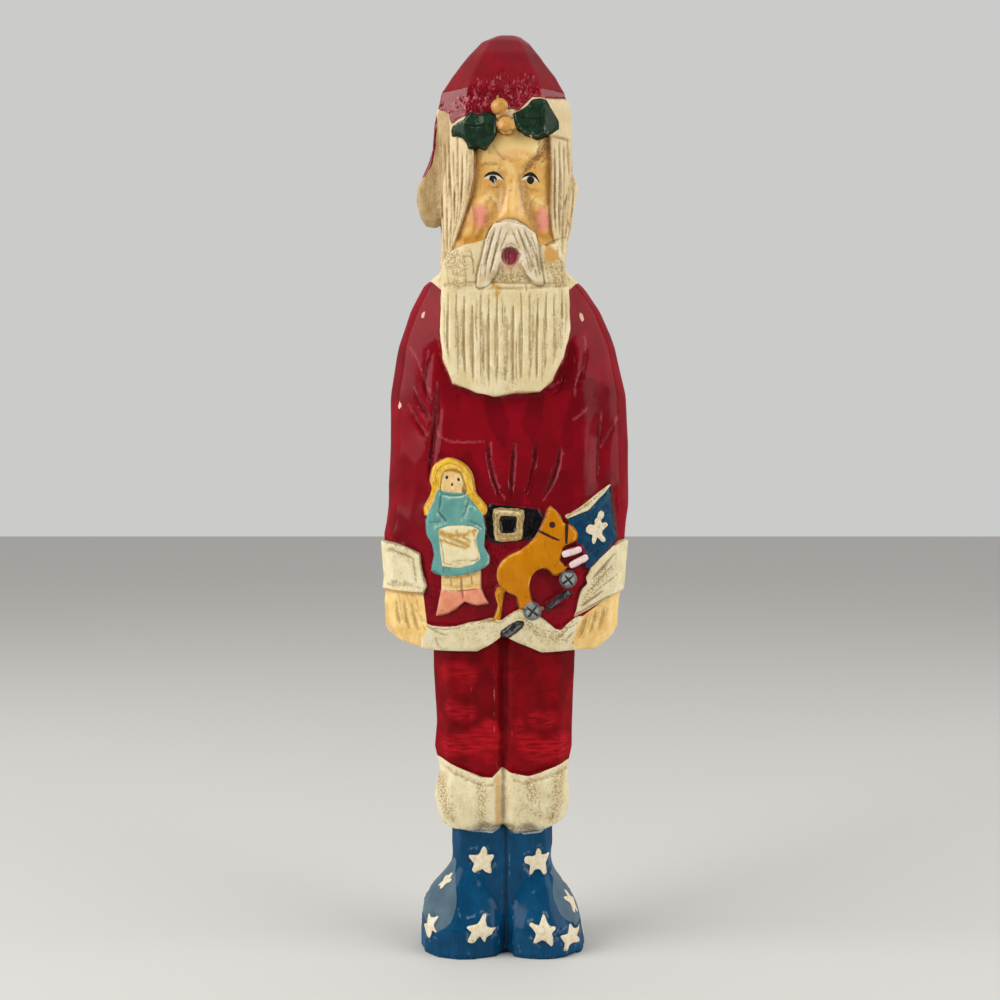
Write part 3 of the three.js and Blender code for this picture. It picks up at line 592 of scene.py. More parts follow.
def eyes():
    for eye in (leftEye, rightEye):
        lid = smoothPath(eye["lid"], steps=4)
        x, z = eye["pupil"]
        shares = np.linspace(0, 1, len(lid))
        ends, fall = face["white"]
        white = [(a, c - fall * math.sin(math.pi * t) - ends) for (a, c), t in zip(lid, shares)]
        area("eyeWhite", list(map(tuple, lid)) + white[::-1], tremble=0.05)
        area("lashBlack", disc(x, z, face["pupil"], 0.95), tremble=0.03)
        start, end = eye["ends"]
        half = [face["lid"] * (0.5 * math.sin(math.pi * t) + (1 - t) * start / 2 + t * end / 2)
                for t in shares]
        upper = [(a, c + h) for (a, c), h in zip(lid, half)]
        lower = [(a, c - h) for (a, c), h in zip(lid, half)]
        area("lashBlack", upper + lower[::-1], tremble=0.04)
    area("eyeGlint", [(-12.2, 833), (-10, 831), (-10.2, 826), (-11.6, 825.6)], tremble=0.02)


# Beard, moustache and mouth

beardForm = {
    "flutes": 15,
    "first": -61,
    "apart": 8.7,
    "top": 711,  # the highest that a flute starts, and how far below it some do
    "lower": 26,
    "short": 30,  # how far above the beard's edge some flutes end
    "ends": ((0, 30, 60), (606, 610, 634)),  # the edge's height at these distances from the middle
    "wander": (1, 0.8, 1.5),  # of a flute at its top and half way, and of the shorter ones
    "flute": (1.1, 0.45),  # mm: wide, deep
    # shorter flutes between the others: across, top, foot
    "between": ((-65, 700, 640), (-48, 690, 618), (-30, 698, 650), (-22, 672, 606), (-4, 704, 660),
                (13, 668, 606), (30, 698, 640), (40, 664, 610), (56, 690, 634), (65, 704, 662)),
    "whisker": (1.1, 0.45),  # mm: wide, deep
    "edge": (1.3, 0.6),
    "lip": 8.8,
    "lipHollow": (3.4, 0.4),  # mm: wide, deep
    "lipLine": (1.2, 0.6),
}
beardEdge = [(-70, 668), (-67, 637), (-56, 611), (-30, 600), (-12, 596), (14, 600), (37, 601), (50, 613),
             (63, 639), (70, 668)]


def beard(block):
    width, depth = beardForm["flute"]
    upper, lower, between = beardForm["wander"]
    for i in range(beardForm["flutes"]):
        x = beardForm["first"] + beardForm["apart"] * i
        top = beardForm["top"] - rng.uniform(0, 1) ** 2 * beardForm["lower"]
        edge = np.interp(abs(x), *beardForm["ends"])
        foot = edge + rng.uniform(0, 1) ** 2 * beardForm["short"]
        path = smoothPath([(x + rng.uniform(-upper, upper), top), (x, 690),
                           (x + rng.uniform(-lower, lower), 650), (x * 0.97, foot)])
        cut(block, path, width, depth, fade=0.1)
        stroke("brown", path, 1.6, 0.55)
    for x, top, foot in beardForm["between"]:
        middle = (x + rng.uniform(-between, between), (top + foot) / 2)
        path = smoothPath([(x, top), middle, (x * 0.98, foot)])
        cut(block, path, width * 0.9, depth, fade=0.3)
        stroke("brown", path, 1.4, 0.45)
    stroke("brown", [(-2, 622), (8, 612), (4, 606)], 16, 0.4)
    area("creamBeard", [(-69, 720)] + beardEdge + [(69, 720)], "front", 0.2)


def cheekBeard(block):
    width, depth = beardForm["whisker"]
    locks = ([(-64, 742), (-62, 728), (-61, 714)], [(-56, 752), (-52, 734), (-52, 714)],
             [(-47, 754), (-43, 738), (-41, 714)], [(-37, 754), (-34, 738), (-34, 724)],
             [(-66, 756), (-58, 746), (-50, 742), (-44, 734)],
             [(47, 738), (52, 726), (54, 714)], [(60, 748), (62, 732), (62, 716)],
             [(42, 746), (45, 730), (48, 716)], [(38, 757), (52, 765), (66, 772)],
             [(-12, 733), (-13, 722), (-12, 712)], [(-3, 734), (-3, 720)], [(6, 734), (7, 719)],
             [(14, 730), (16, 718)], [(22, 716), (23, 708)],
             [(-60, 756), (-54, 746), (-48, 752)], [(-62, 738), (-54, 728), (-56, 718)],
             [(-46, 744), (-38, 746), (-32, 738)], [(56, 756), (58, 744), (66, 740)],
             [(44, 730), (50, 736), (58, 732)])
    for path in locks:
        cut(block, smoothPath(path), width, depth * 0.8, fade=0.2)
        stroke("brown", smoothPath(path), 1.8, 0.7)
    nicks(block, [(-66, 754), (-30, 756), (-26, 716), (-66, 716)], 90, 1.3, 1.0, 0.16, spread=80)
    nicks(block, [(40, 754), (68, 754), (66, 716), (44, 716)], 70, 1.3, 1.0, 0.16, spread=80)
    nicks(block, [(-10, 736), (16, 736), (22, 716), (-14, 716)], 24, 1.5, 1.2, 0.2, spread=60)
    area("creamBeard", [
        (-69, 713), (-80, 724), (-78, 735), (-60, 757), (-43, 759), (-29, 760), (0, 765),
        (38, 757), (54, 767), (74, 780), (80, 724), (69, 713),
    ], "front", 0.12)
    stroke("ochre", disc(49, 748, 5), 9, 1.0)
    stroke("ochre", [(46, 756), (49, 744)], 10, 1.0)
    stroke("ochre", [(-12, 716), (-7, 712), (-9, 705)], 8, 0.9)
    stroke("brown", smoothPath([(38, 757), (52, 765), (66, 772)]), 3.4, 1.0)
    stroke("brown", [(-48, 760), (-42, 752), (-45, 745)], 6, 0.3)
    stroke("blush", [(-6, 734), (6, 731), (16, 733)], 7, 0.45)
    stroke("ochre", [(-2, 736), (6, 734.5), (12, 736)], 4, 0.7)
    # specked brown under the cheeks and along the parting
    stroke("brown", [(-58, 748), (-50, 736), (-50, 720)], 30, 0.75)
    stroke("brown", [(46, 740), (56, 738), (58, 722)], 28, 0.75)
    stroke("brown", [(-64, 716), (-36, 716)], 8, 0.8)
    stroke("brown", [(30, 716), (64, 716)], 8, 0.8)
    stroke("brown", [(-12, 724), (4, 722), (18, 724)], 16, 0.8)


def moustache(block):
    width, depth = beardForm["whisker"]
    shape = [(-9, 784), (3, 787), (14, 785), (23, 780), (33, 770), (36, 757), (38, 741), (42, 724),
             (42, 716), (37, 713), (30, 716), (22, 725), (18, 734), (16, 747), (6, 759), (-4, 747),
             (-6, 734), (-10, 724), (-17, 715), (-26, 711), (-31, 714), (-30, 728), (-25, 748),
             (-22, 761), (-18, 775)]
    for path in (
        [(-16, 770), (-22, 752), (-26, 734), (-26, 720)], [(-10, 777), (-16, 757), (-20, 738), (-22, 720)],
        [(-3, 778), (-9, 758), (-13, 740), (-17, 724)], [(3, 772), (-2, 760), (-7, 748)],
        [(26, 770), (32, 755), (35, 738), (38, 722)], [(19, 776), (26, 758), (30, 740), (34, 722)],
        [(12, 778), (19, 760), (23, 744), (28, 726)], [(8, 772), (12, 762), (17, 750)],
    ):
        cut(block, smoothPath(path), width, depth, fade=0.14)
        stroke("brown", smoothPath(path), 2.2, 0.45)
    edge = smoothPath(shape, closed=True, steps=3)
    cut(block, edge, *beardForm["edge"], fade=0)
    area("moustacheWhite", edge, tremble=0.06)
    x, z, radius = 5.5, 745.5, beardForm["lip"]
    hollow = disc(x, z, radius * 0.5) + [(x + radius * 0.5, z)]
    cut(block, hollow, *beardForm["lipHollow"], fade=0, gouge=True)
    line = [(x - 1, z + radius), (x - 2, z), (x - 1, z - radius)]
    cut(block, line, *beardForm["lipLine"], fade=0.15)
    area("lipRim", disc(x, z, radius * 1.14), tremble=0.05)
    area("lipRed", disc(x - 0.4, z + 0.6, radius * 0.97), tremble=0.05)
    arch = [(x + (radius + 1.5) * math.cos(a), z + (radius + 0.6) * math.sin(a))
            for a in np.linspace(0.5, 2.6, 9)]
    stroke("brown", arch, 3.4, 1.0)
    stroke("brown", [(x - 1.5, z + radius), (x - 2, z - radius * 0.8)], 2.4, 1.0)


# The coat, its hem, cuffs and hands

coatForm = {
    "fold": (1.6, 0.5),  # mm: wide, deep
    "scratch": (0.7, 0.2),
    "hemLine": (0.9, 0.3),
    "hemScore": (1.1, 0.5),
    "cuffLine": (1.1, 0.5),
    "finger": (1.5, 0.4),
    "chestTilt": 1.5,  # mm that the chest falls back beside the beard
    "chest": (545, 700),  # the heights between which it does, and over how much it comes in
    "chestFade": 60,
    "chestWide": (50, 90),  # in full out to the first distance, gone at the second
    "chestAhead": -0.6,  # only what faces forward by this much
    "beardClear": 2,  # and is this far from the beard
    "rubbed": (2.5, 0.55),  # the pale marks along the folds, partly rubbed varnish and partly painted highlight: wide, and how strong
}
hemTop = [(-86, 356), (-81, 353), (-66, 351), (-52, 352), (-38, 356), (-26, 358), (-15, 361), (-5, 358),
          (8, 367), (16, 371), (26, 369), (36, 363), (46, 355), (54, 349), (60, 348), (66, 354), (77, 362)]
hemFoot = [(-150, 310), (-96, 326), (-81, 323.5), (-55, 325), (-30, 324), (-15, 332), (-2, 341), (14, 333),
           (40, 323), (72, 323.5), (97, 322), (150, 310)]


def coat(block):
    spots, normals = block["drawings"]["front"], block["normals"]
    low, high = coatForm["chest"]
    full, end = coatForm["chestWide"]
    fade, tilt = coatForm["chestFade"], coatForm["chestTilt"] * mm
    chest = smoothStep((spots[:, 1] - low) / fade) * smoothStep((high - spots[:, 1]) / fade)
    beardAll = np.array(beardEdge + [(70, 730), (-70, 730)])
    ahead, clear = normals[:, 1] < coatForm["chestAhead"], signedDistance(spots, beardAll)
    chest *= ahead & (clear > coatForm["beardClear"])
    block["points"][:, 1] += tilt * chest * smoothStep((end - np.abs(spots[:, 0])) / (end - full))
    grooves(block, coatForm["fold"], [
        [(-102, 586), (-93, 568), (-81, 549)], [(-97, 605), (-89, 588), (-78, 572)],
        [(-87, 616), (-84, 600), (-78, 585)], [(120, 573), (111, 557), (101, 542)],
        [(73, 655), (77, 630), (72, 600)], [(-71, 606), (-73, 576), (-78, 547), (-80, 519), (-81, 496)],
        [(102, 580), (99.6, 542), (98, 500)], [(-17, 556), (-16, 520), (-3, 482)],
        [(10, 550), (7, 508), (6.6, 482)], [(33, 552), (30, 508), (21, 482)],
        [(60, 546), (54, 513), (38, 481)], [(66, 626), (58, 604), (47, 596)],
    ], fade=0.25)
    grooves(block, coatForm["scratch"], [
        [(-72, 520), (-70, 480), (-72, 440)], [(-28, 520), (0, 545), (26, 549)], [(92, 604), (100, 596)],
        [(-52, 600), (-50, 580)], [(-22, 500), (-6, 510), (2, 520)], [(78, 560), (84, 530)],
        [(66, 380), (48, 356)], [(72, 378), (58, 362)], [(40, 362), (52, 352)], [(-76, 372), (-50, 360)],
    ])
    # pale along the folds' edges: partly the varnish rubbed through, partly a painted highlight
    for path in (
        [(85, 662), (87, 652), (84, 630), (77, 616), (74, 600)],
        [(-103, 652), (-95, 639), (-87, 616), (-80, 600)], [(-82, 647), (-85, 630), (-86, 611)],
        [(-104, 590), (-97, 576), (-83, 555)], [(-98, 608), (-89, 588), (-80, 574)],
        [(-72.7, 613), (-74, 588), (-72.7, 560), (-62, 550), (-47, 548), (-22, 549)],
        [(122, 576), (113, 560), (103, 544)], [(103.5, 577), (102, 560), (99.5, 538), (99.5, 513)],
        [(88, 584), (80, 577), (73, 572)], [(58, 613), (47, 608)], [(-15, 548), (-13.5, 520), (-1, 488)],
        [(11.6, 546), (9, 508)], [(61, 540), (55.6, 513), (41, 486)], [(-69, 530), (-68, 500)],
    ):
        stroke("pale", smoothPath(path), *coatForm["rubbed"])
    # the ground round the toys was lowered with small nicks
    nicks(block, [(-24, 440), (2, 440), (-6, 424), (-12, 396), (-22, 376), (-18, 412)],
          46, 2.4, 1.3, 0.3, spread=50)
    nicks(block, [(-88, 420), (-80, 420), (-72, 396), (-74, 364), (-86, 372)],
          34, 2.4, 1.3, 0.26, spread=50)
    nicks(block, [(-10, 452), (30, 446), (20, 436), (2, 430)], 18, 2.4, 1.2, 0.22, spread=50)
    nicks(block, [(-6, 384), (12, 382), (14, 372), (0, 360), (-4, 362)], 16, 2.0, 1.2, 0.3, spread=50)
    nicks(block, [(-80, 536), (-44, 536), (-20, 496), (-30, 486), (-44, 528), (-78, 528)],
          34, 1.8, 1.0, 0.2)
    nicks(block, [(-92, 700), (-70, 712), (-70, 640), (-96, 640)], 40, 1.8, 1.0, 0.14, spread=70)
    # knocks that show pale wood
    for x, z, size, narrow, lean in (
        (-88.6, 686.6, 4.6, 0.4, 0.25),
        (82.6, 683.5, 5.4, 0.42, -0.2),
        (-114, 589, 4.6, 0.5, 0),
        (9.4, 280, 2.4, 0.5, 0.4),
        (-22, 300, 1.6, 0.5, 0),
    ):
        area("bareWood", star(x, z, size, 20, narrow, lean, 0.75), tremble=0.12)


def hem(block):
    area("creamFur", [(-150, 356)] + hemTop + [(150, 362), (150, 290), (-150, 290)], "round", 0.2)
    area("trouserRed", hemFoot + [(150, 180), (-150, 180)], "round")
    cut(block, smoothPath([(x, z - 2.5) for x, z in hemTop]), *coatForm["hemLine"], fade=0.02)
    grooves(block, coatForm["hemScore"], [
        [(-98, 372), (-90, 356), (-84, 344)], [(-92, 366), (-86, 354)],
        [(-84, 352), (-70, 344), (-60, 342)], [(70, 352), (60, 342), (52, 336)], [(74, 346), (64, 336)],
        [(64, 356), (56, 346)], [(78, 340), (70, 330)], [(-76, 340), (-70, 330)],
        [(80, 356), (68, 350), (58, 352)],
    ], fade=0.25)
    nicks(block, [(-50, 350), (-8, 352), (-10, 340), (-50, 336)], 44, 1.3, 0.9, 0.16, spread=80)
    nicks(block, [(18, 356), (62, 344), (60, 330), (22, 332)], 60, 1.5, 1.0, 0.2, spread=60)
    stroke("brown", [(-40, 349), (-20, 350), (-8, 346)], 8, 0.3)
    stroke("brown", [(22, 356), (40, 344), (60, 340)], 15, 0.7)
    stroke("brown", smoothPath([(-80, 350), (-60, 345), (-44, 349)]), 3, 0.3)


def hands(block):
    left = [(-150, 398), (-129, 392), (-106, 390), (-88, 387), (-86, 372), (-83, 349), (-89, 338),
            (-92, 323), (-150, 323)]
    right = [(150, 400), (122, 386), (111, 381), (96, 371), (82, 361), (77, 350), (72, 334), (78, 323),
             (150, 323)]
    grooves(block, coatForm["finger"], [
        [(-123, 386), (-121, 366), (-117, 352)], [(-114.5, 386), (-112, 362), (-107, 346)],
        [(-106, 388), (-102, 362), (-97, 342)], [(-97, 386), (-92, 364), (-88, 347)],
        [(112, 376), (109, 360), (104, 346)], [(103, 373), (99, 356), (94, 340)],
        [(95, 368), (90, 352), (83, 334)], [(87, 362), (81, 348), (76, 336)],
    ], fade=0.25)
    area("handFlesh", left, "front", 0.15)
    area("handFlesh", right, "front", 0.15)
    behind = [(150, 405), (84, 405), (83, 349), (89, 338), (92, 323), (150, 323)]
    for way in (-1, 1):
        area("handFlesh", [(way * x, z) for x, z in behind], "back", 0.15)
    stroke("brown", [(-130, 372), (-128, 352), (-120, 342)], 9, 0.35, "round")


def cuffs(block):
    left = [(-150, 447), (-132, 443), (-118, 440), (-105, 436), (-91, 429), (-90, 420), (-87, 405),
            (-83, 395), (-87, 386), (-106, 389), (-129, 391), (-150, 393)]
    right = [(150, 448), (122, 442), (110, 431), (92, 414), (86, 403), (88, 397), (81, 391), (76, 369),
             (73, 361), (92, 370), (111, 381), (150, 397)]
    grooves(block, coatForm["cuffLine"], [
        [(-131, 434), (-118, 431), (-102, 425), (-96, 420)], [(-99, 424), (-97, 408), (-95, 396)],
        [(-128, 399), (-110, 397), (-88, 391)], [(-131, 396), (-112, 393)],
        [(121, 431), (106, 415), (92, 400)], [(118, 418), (104, 403), (90, 388)],
        [(108, 390), (94, 381), (80, 372)], [(124, 408), (108, 396), (92, 384)],
    ], fade=0.15)
    area("creamFur", left, "front", 0.16)
    area("creamFur", right, "front", 0.16)
    leftBehind = [(-150, 446), (-130, 444), (-108, 442), (-88, 434), (-85, 408), (-85, 384),
                  (-104, 388), (-122, 393), (-150, 397)]
    rightBehind = [(150, 447), (124, 443), (106, 442), (90, 434), (86, 406), (85, 377), (104, 385),
                   (122, 392), (150, 397)]
    for behind in (leftBehind, rightBehind):
        area("creamFur", smoothPath(behind, steps=3), "back", 0.16)
    stroke("brown", [(-128, 430), (-112, 427), (-98, 418), (-95, 404), (-98, 396)], 5, 0.3)
    # painted shade: brown in the right cuff's grooves
    stroke("brown", [(108, 412), (94, 394), (84, 374)], 11, 0.8)
    stroke("brown", [(116, 412), (104, 400)], 8, 0.6)


# What is held across the coat: doll, horse, flag and bells

dollForm = {
    "faceEdge": (1.3, 0.63),  # mm: wide, deep
    "line": (1.0, 0.45),
    "strand": (0.8, 0.3),
    "pleat": (0.9, 0.25),
    "eye": 2.4,
}


def doll(block):
    hairShape = smoothPath([
        (-42, 494), (-38, 486), (-31, 477), (-22, 469), (-19, 479), (-24, 486), (-31, 495), (-33, 510),
        (-38, 520), (-47, 528), (-61, 532), (-72, 527), (-79, 519), (-81, 507), (-78, 499), (-81, 490),
        (-87, 479), (-85, 469), (-77, 480), (-70, 497),
    ], True, 3)
    skin = smoothPath([
        (-67, 493), (-68, 508), (-65, 516), (-57, 518), (-49, 516), (-45, 509), (-43, 493),
    ], True, 3)
    dress = [(-72, 497), (-65, 496), (-56, 494), (-42, 494), (-37, 488), (-23, 470), (-21, 456), (-22, 436),
             (-17, 428), (-17, 418), (-26, 412), (-38, 408), (-54, 405.5), (-67, 405.5), (-79, 411),
             (-76, 428), (-79, 441), (-84, 450), (-85, 465), (-82, 473), (-76, 486)]
    apron = [(-71, 455), (-61, 458.5), (-47, 460), (-35, 458), (-28, 455), (-31, 445), (-26, 424),
             (-34, 418), (-49, 414), (-67, 416)]
    legs = [(-68, 408), (-26, 413), (-25, 392), (-68, 388)]
    shoes = [(-68, 391), (-61, 389.5), (-46, 390), (-33, 392.5), (-25, 393), (-22, 384), (-17, 376),
             (-29, 374), (-37, 375), (-43, 379), (-52, 370), (-61, 365), (-74, 362), (-71, 378)]
    cut(block, np.vstack([skin, skin[0]]), *dollForm["faceEdge"], fade=0)
    grooves(block, dollForm["line"], [
        [(-68, 495), (-69, 484), (-70, 476)], [(-73, 476), (-67, 469), (-61, 462)],
        [(-82, 462), (-75, 463), (-68, 464)], [(-38, 488), (-42, 476), (-47, 464)],
        [(-43, 467), (-33, 462), (-23, 457)], [(-64, 493), (-55, 491), (-42, 492)],
        [(-70, 450), (-66, 430), (-64, 419), (-50, 418.5), (-38, 421), (-28, 425), (-31, 448)],
        [(-47, 406), (-46, 392), (-45, 380)], [(-68, 391), (-46, 390), (-25, 393)],
        [(-58, 403), (-57, 394)], [(-36, 406), (-35, 396)],
    ], fade=0.12)
    grooves(block, dollForm["strand"], [
        [(-70, 498), (-74, 508), (-72, 518), (-62, 525), (-51, 523), (-42, 514), (-38, 500), (-28, 484)],
        [(-74, 500), (-78, 510), (-74, 522)], [(-40, 490), (-31, 479), (-24, 471)],
        [(-34, 500), (-27, 488), (-21, 480)], [(-84, 480), (-81, 473)],
    ], fade=0.1)
    nicks(block, skin, 12, 1.4, 0.9, 0.12, tilt=0, spread=90)
    for x in (-66, -60, -40, -32):
        cut(block, [(x, 414), (x + 1, 409)], *dollForm["pleat"])
    area("dollHair", hairShape)
    area("dollSkin", skin, tremble=0.05)
    area("dollSkin", legs)
    area("shoePink", shoes)
    area("dressTeal", smoothPath(dress, True, 2))
    area("apronCream", apron, tremble=0.12)
    for paint, x, z, size in (
        ("lashBlack", -62, 510.5, 0.9), ("lashBlack", -49.5, 508.5, 1), ("bridleBrown", -56, 503, 0.9),
    ):
        area(paint, disc(x, z, dollForm["eye"] * size, 0.85), tremble=0.12)
    # the apron's dry-brushed ochre; pale along the dress's ridges, partly rubbed paint and partly painted
    # highlight
    for start, end, width in (
        ((-71, 452), (-39, 438), 6.2), ((-69, 444), (-42, 435), 4.2), ((-70, 454), (-48, 447), 3.6),
        ((-52, 452), (-38, 443), 4.4), ((-45, 449), (-30, 455), 4.6), ((-33, 452), (-31, 436), 3.0),
    ):
        stroke("ochre", [start, end], width, 1.0)
    for path in (
        [(-65, 490.5), (-55, 488.6), (-44, 490)], [(-75, 475), (-67, 465)], [(-62, 462.5), (-80, 455.5)],
        [(-40.7, 486), (-46.6, 462.5)], [(-36, 480.4), (-21.6, 471.4)], [(-42, 467), (-25, 455.5)],
        [(-38.9, 479), (-41.3, 468.4)],
    ):
        stroke("pale", path, 1.7, 0.9)
    for path in ([(-66, 404), (-48, 404), (-28, 408)], [(-66, 396), (-48, 394), (-28, 397)]):
        stroke("ochre", path, 4, 0.7)
    stroke("ochre", [(-66, 512), (-58, 517), (-50, 515)], 3.4, 0.8)
    stroke("ochre", [(-68, 496), (-70, 512), (-60, 524), (-44, 518), (-38, 502)], 3, 0.5)


horseForm = {
    "edge": (1.3, 0.5),  # mm: wide, deep
    "line": (1.0, 0.3),
    "joint": (1.0, 0.25),
    "bridle": 3.9,
}


def horse(block):
    body = [(48, 481), (52, 477), (55, 474), (60, 470), (62, 463), (69, 460.5), (75, 456), (77, 450),
            (76, 443), (71, 440), (65, 438.5), (61, 434), (59, 428), (59, 422), (63, 418), (67, 414),
            (62, 410), (56, 405.5), (51, 406), (47, 411), (40, 413.5), (33, 411), (28, 405), (26, 395),
            (27, 386), (29, 379), (36, 373), (26, 370), (16, 369.5), (13, 378), (12, 384), (5, 387),
            (-2, 391), (-7, 397), (-9, 406), (-8, 414), (-3, 422), (4, 428), (16, 433), (24, 439),
            (31, 447), (37, 456), (41, 466), (45, 477)]
    tailShape = [(-4, 395), (-8, 394), (-11, 387), (-8, 376), (-9, 368), (-14, 357), (-8, 360), (-5, 359),
                 (-3, 375), (-1, 386), (1, 393), (-2, 396)]
    cut(block, np.vstack([body, body[0]]), *horseForm["edge"], fade=0)
    grooves(block, horseForm["line"], [
        [(36, 453), (48, 446), (58, 443)], [(65, 460), (64.5, 450), (66, 440)],
    ], fade=0.15)
    grooves(block, horseForm["joint"], [
        [(20, 384), (34, 380)], [(52, 414), (58, 424)], [(-8, 388), (-4, 366)],
    ])
    area("horseOchre", body)
    area("horseOchre", tailShape, tremble=0.15)
    area("bridleBrown", bar((35.5, 453.5), (58, 443), horseForm["bridle"] * 0.8, 0.7), tremble=0.08)
    area("bridleBrown", bar((65.5, 461), (65, 440), horseForm["bridle"], 0.8), tremble=0.08)
    area("bridleBrown", disc(50, 460, 3.5), tremble=0.05)
    # painted highlights along the body's lower edge, on the head and down the tail
    stroke("pale", np.array(body)[28:], 2.6, 0.55)
    stroke("pale", [(44, 476), (49, 479), (56, 472)], 2.5, 0.5)
    stroke("pale", [(-7, 390), (-10, 384), (-6, 374), (-10, 362)], 3, 0.6)
    stroke("brown", [(-2, 390), (-3, 378), (-6, 362)], 2.0, 0.7)


flagForm = {
    "starHeight": 0.4,  # mm
    "starSlope": 0.7,
    "fold": (0.9, 0.3),  # mm: wide, deep
    "rimCut": (1.2, 0.5),
    "edgeCut": (1.6, 0.7),
    "stripe": (8.4, 7.4),  # half its length, and its width
}
flagStar = [(102.5, 475), (104.5, 474.5), (106, 472.5), (106, 470), (105, 467), (103, 465.5),
            (103, 462.5), (104.5, 461.5), (107, 462.5), (109, 462), (110.5, 460.5), (110, 458.5),
            (107.5, 456.5), (105.5, 454.5), (104, 452.5), (104, 449), (106, 447), (108, 444),
            (107.5, 442), (105, 441), (102.5, 442.5), (100, 446), (99, 446.5), (98, 444.5),
            (96.5, 440.5), (94.5, 439), (93.5, 440), (92.5, 443), (93, 446), (93.5, 449), (91.5, 449.5),
            (88.5, 450.5), (86.5, 452.5), (86, 455.5), (87.5, 458.5), (90, 460.5), (93, 460),
            (95.5, 459.5), (96, 461.5), (95.5, 464), (97, 466.5), (98.5, 467.5), (99, 470),
            (100, 473)]


def flag(block):
    cloth = [(66, 466.5), (78, 471), (90, 476), (102, 489), (113, 501.5), (114, 484), (117, 463),
             (121.5, 446), (111, 434), (98, 421), (90, 413), (86, 413), (85, 420), (88, 428), (82, 438),
             (76, 442), (78, 450), (74, 458), (68, 461)]
    rim = [(62, 470), (66, 466.5), (78, 471), (90, 476), (102, 489), (113, 501.5), (118, 508.5),
           (106, 498.5), (94, 490), (82, 480.5), (70, 472)]
    shadowSide = [(113, 501), (115, 500), (118, 478), (121, 462), (122, 447), (119, 449), (116, 463),
                  (113, 484)]
    patch = [(60, 431), (62, 421), (72, 413), (78, 413), (85, 419), (88, 427), (81, 438), (75, 439),
             (66, 436)]
    cut(block, smoothPath(rim[1:6]), *flagForm["rimCut"], fade=0.08)
    cut(block, smoothPath([(114, 504), (116.5, 478), (121, 448)]), *flagForm["edgeCut"], fade=0.1)
    grooves(block, flagForm["fold"], [
        [(86, 474), (89, 462)], [(90, 444), (86, 430)], [(104, 443), (96, 424)], [(78, 466), (84, 452)],
        [(112, 478), (108, 466)], [(94, 436), (88, 426)],
    ])
    nicks(block, cloth, 40, 2.2, 1.0, 0.18, spread=70)
    stand(block, flagStar, flagForm["starHeight"], flagForm["starSlope"])
    area("flagBlue", cloth, tremble=0.14)
    area("bridleBrown", shadowSide)
    area("creamFur", rim, tremble=0.14)
    area("coatRed", patch, tremble=0.14)
    area("starCream", flagStar, tremble=0.08)
    half, width = flagForm["stripe"]
    for (x, z), tilt in (((71, 431), 17), ((78.5, 421), 28)):
        turn = math.radians(tilt)
        dx, dz = math.cos(turn) * half, math.sin(turn) * half
        outline = bar((x - dx, z - dz), (x + dx, z + dz), width)
        area("stripeWhite", smoothPath(outline, True, 3), tremble=0.06)
    stroke("brown", [(84, 480), (96, 488), (108, 499)], 3.5, 0.7)
    stroke("brown", [(68, 470), (78, 474)], 3, 0.6)


bellForm = {
    "radius": 10.0,
    "groove": (1.2, 0.5),  # mm: wide, deep
    "slot": 0.72,  # the share of a bell that its crossed slots reach
    "line": 2.8,
}


def bells(block):
    width, depth = bellForm["groove"]
    straps = ([(46, 367.5), (60, 379), (72, 385), (67, 391), (62, 389), (44, 374.5)],
              [(-5, 342), (-1, 337), (6, 341), (18, 350), (20, 357), (13, 358), (2, 352), (-4, 347)])
    for strap in straps:
        cut(block, np.vstack([strap, strap[0]]), width, depth, fade=0)
        area("strapBlack", smoothPath(strap, True, 2), tremble=0.12)
    nicks(block, straps[1], 16, 2.2, 1.0, 0.35, tilt=40)
    area("berryOchre", disc(39.5, 371, 2.4))
    for (x, z), size, turn in (((29, 368), 1.0, 12), ((67, 402), 0.98, -4)):
        reach = bellForm["radius"] * size
        area("bellGrey", disc(x, z, reach), tremble=0.12)
        for angle in (42 + turn, 132 + turn):
            way = math.radians(angle)
            dx, dz = math.cos(way) * reach * bellForm["slot"], math.sin(way) * reach * bellForm["slot"]
            start, end = (x - dx, z - dz), (x + dx, z + dz)
            cut(block, [start, end], width, depth, fade=0.12)
            area("lashBlack", bar(start, end, bellForm["line"], 0.7), tremble=0.05)
    # painted highlights along the two straps
    stroke("pale", [(1, 341), (8, 346), (16, 353)], 3.2, 0.7)
    stroke("pale", [(48, 371), (60, 380)], 1.6, 0.5)


beltForm = {
    "slip": (1.2, 0.35),  # mm: wide, deep
    "loop": (1.3, 0.4),
}


def belt(block):
    strap = [(-20, 477), (-15, 483), (-7, 480), (4, 481), (16, 478), (26, 478), (35, 476), (41, 468),
             (36, 456), (30, 445), (14, 443), (-10, 440), (-20, 445)]
    outer = [(-12, 477), (4, 477.5), (20, 475.5), (19, 460), (17.5, 445), (4, 442.5), (-10, 443.5),
             (-12.5, 460)]
    inner = [(-5.5, 469), (4, 469.5), (12.5, 468.5), (12, 460), (11, 452), (-4, 451.5), (-6, 460)]
    nicks(block, strap, 16, 2.4, 1.4, 0.14, tilt=10, spread=60)
    cut(block, [(-20, 476), (-6, 474), (-16, 458), (-19, 448)], *beltForm["slip"])
    for path in ([(24, 474), (26, 460), (22, 447)], [(31, 473), (30, 460), (27, 449)]):
        cut(block, path, *beltForm["loop"])
    area("beltBlack", strap, tremble=0.18)
    area("dullGold", smoothPath(outer, True, 2), tremble=0.14)
    area("beltBlack", smoothPath(inner, True, 2), tremble=0.14)
    nicks(block, outer, 40, 1.2, 0.9, 0.25, spread=90)
    stroke("brown", [(-8, 470), (-8, 450), (6, 447), (15, 450), (16, 470)], 2.4, 0.6)
    # a painted highlight along the buckle's top
    stroke("pale", [(-9, 474), (5, 474), (16, 472)], 4, 0.8)


# Trousers, boot cuffs and boots

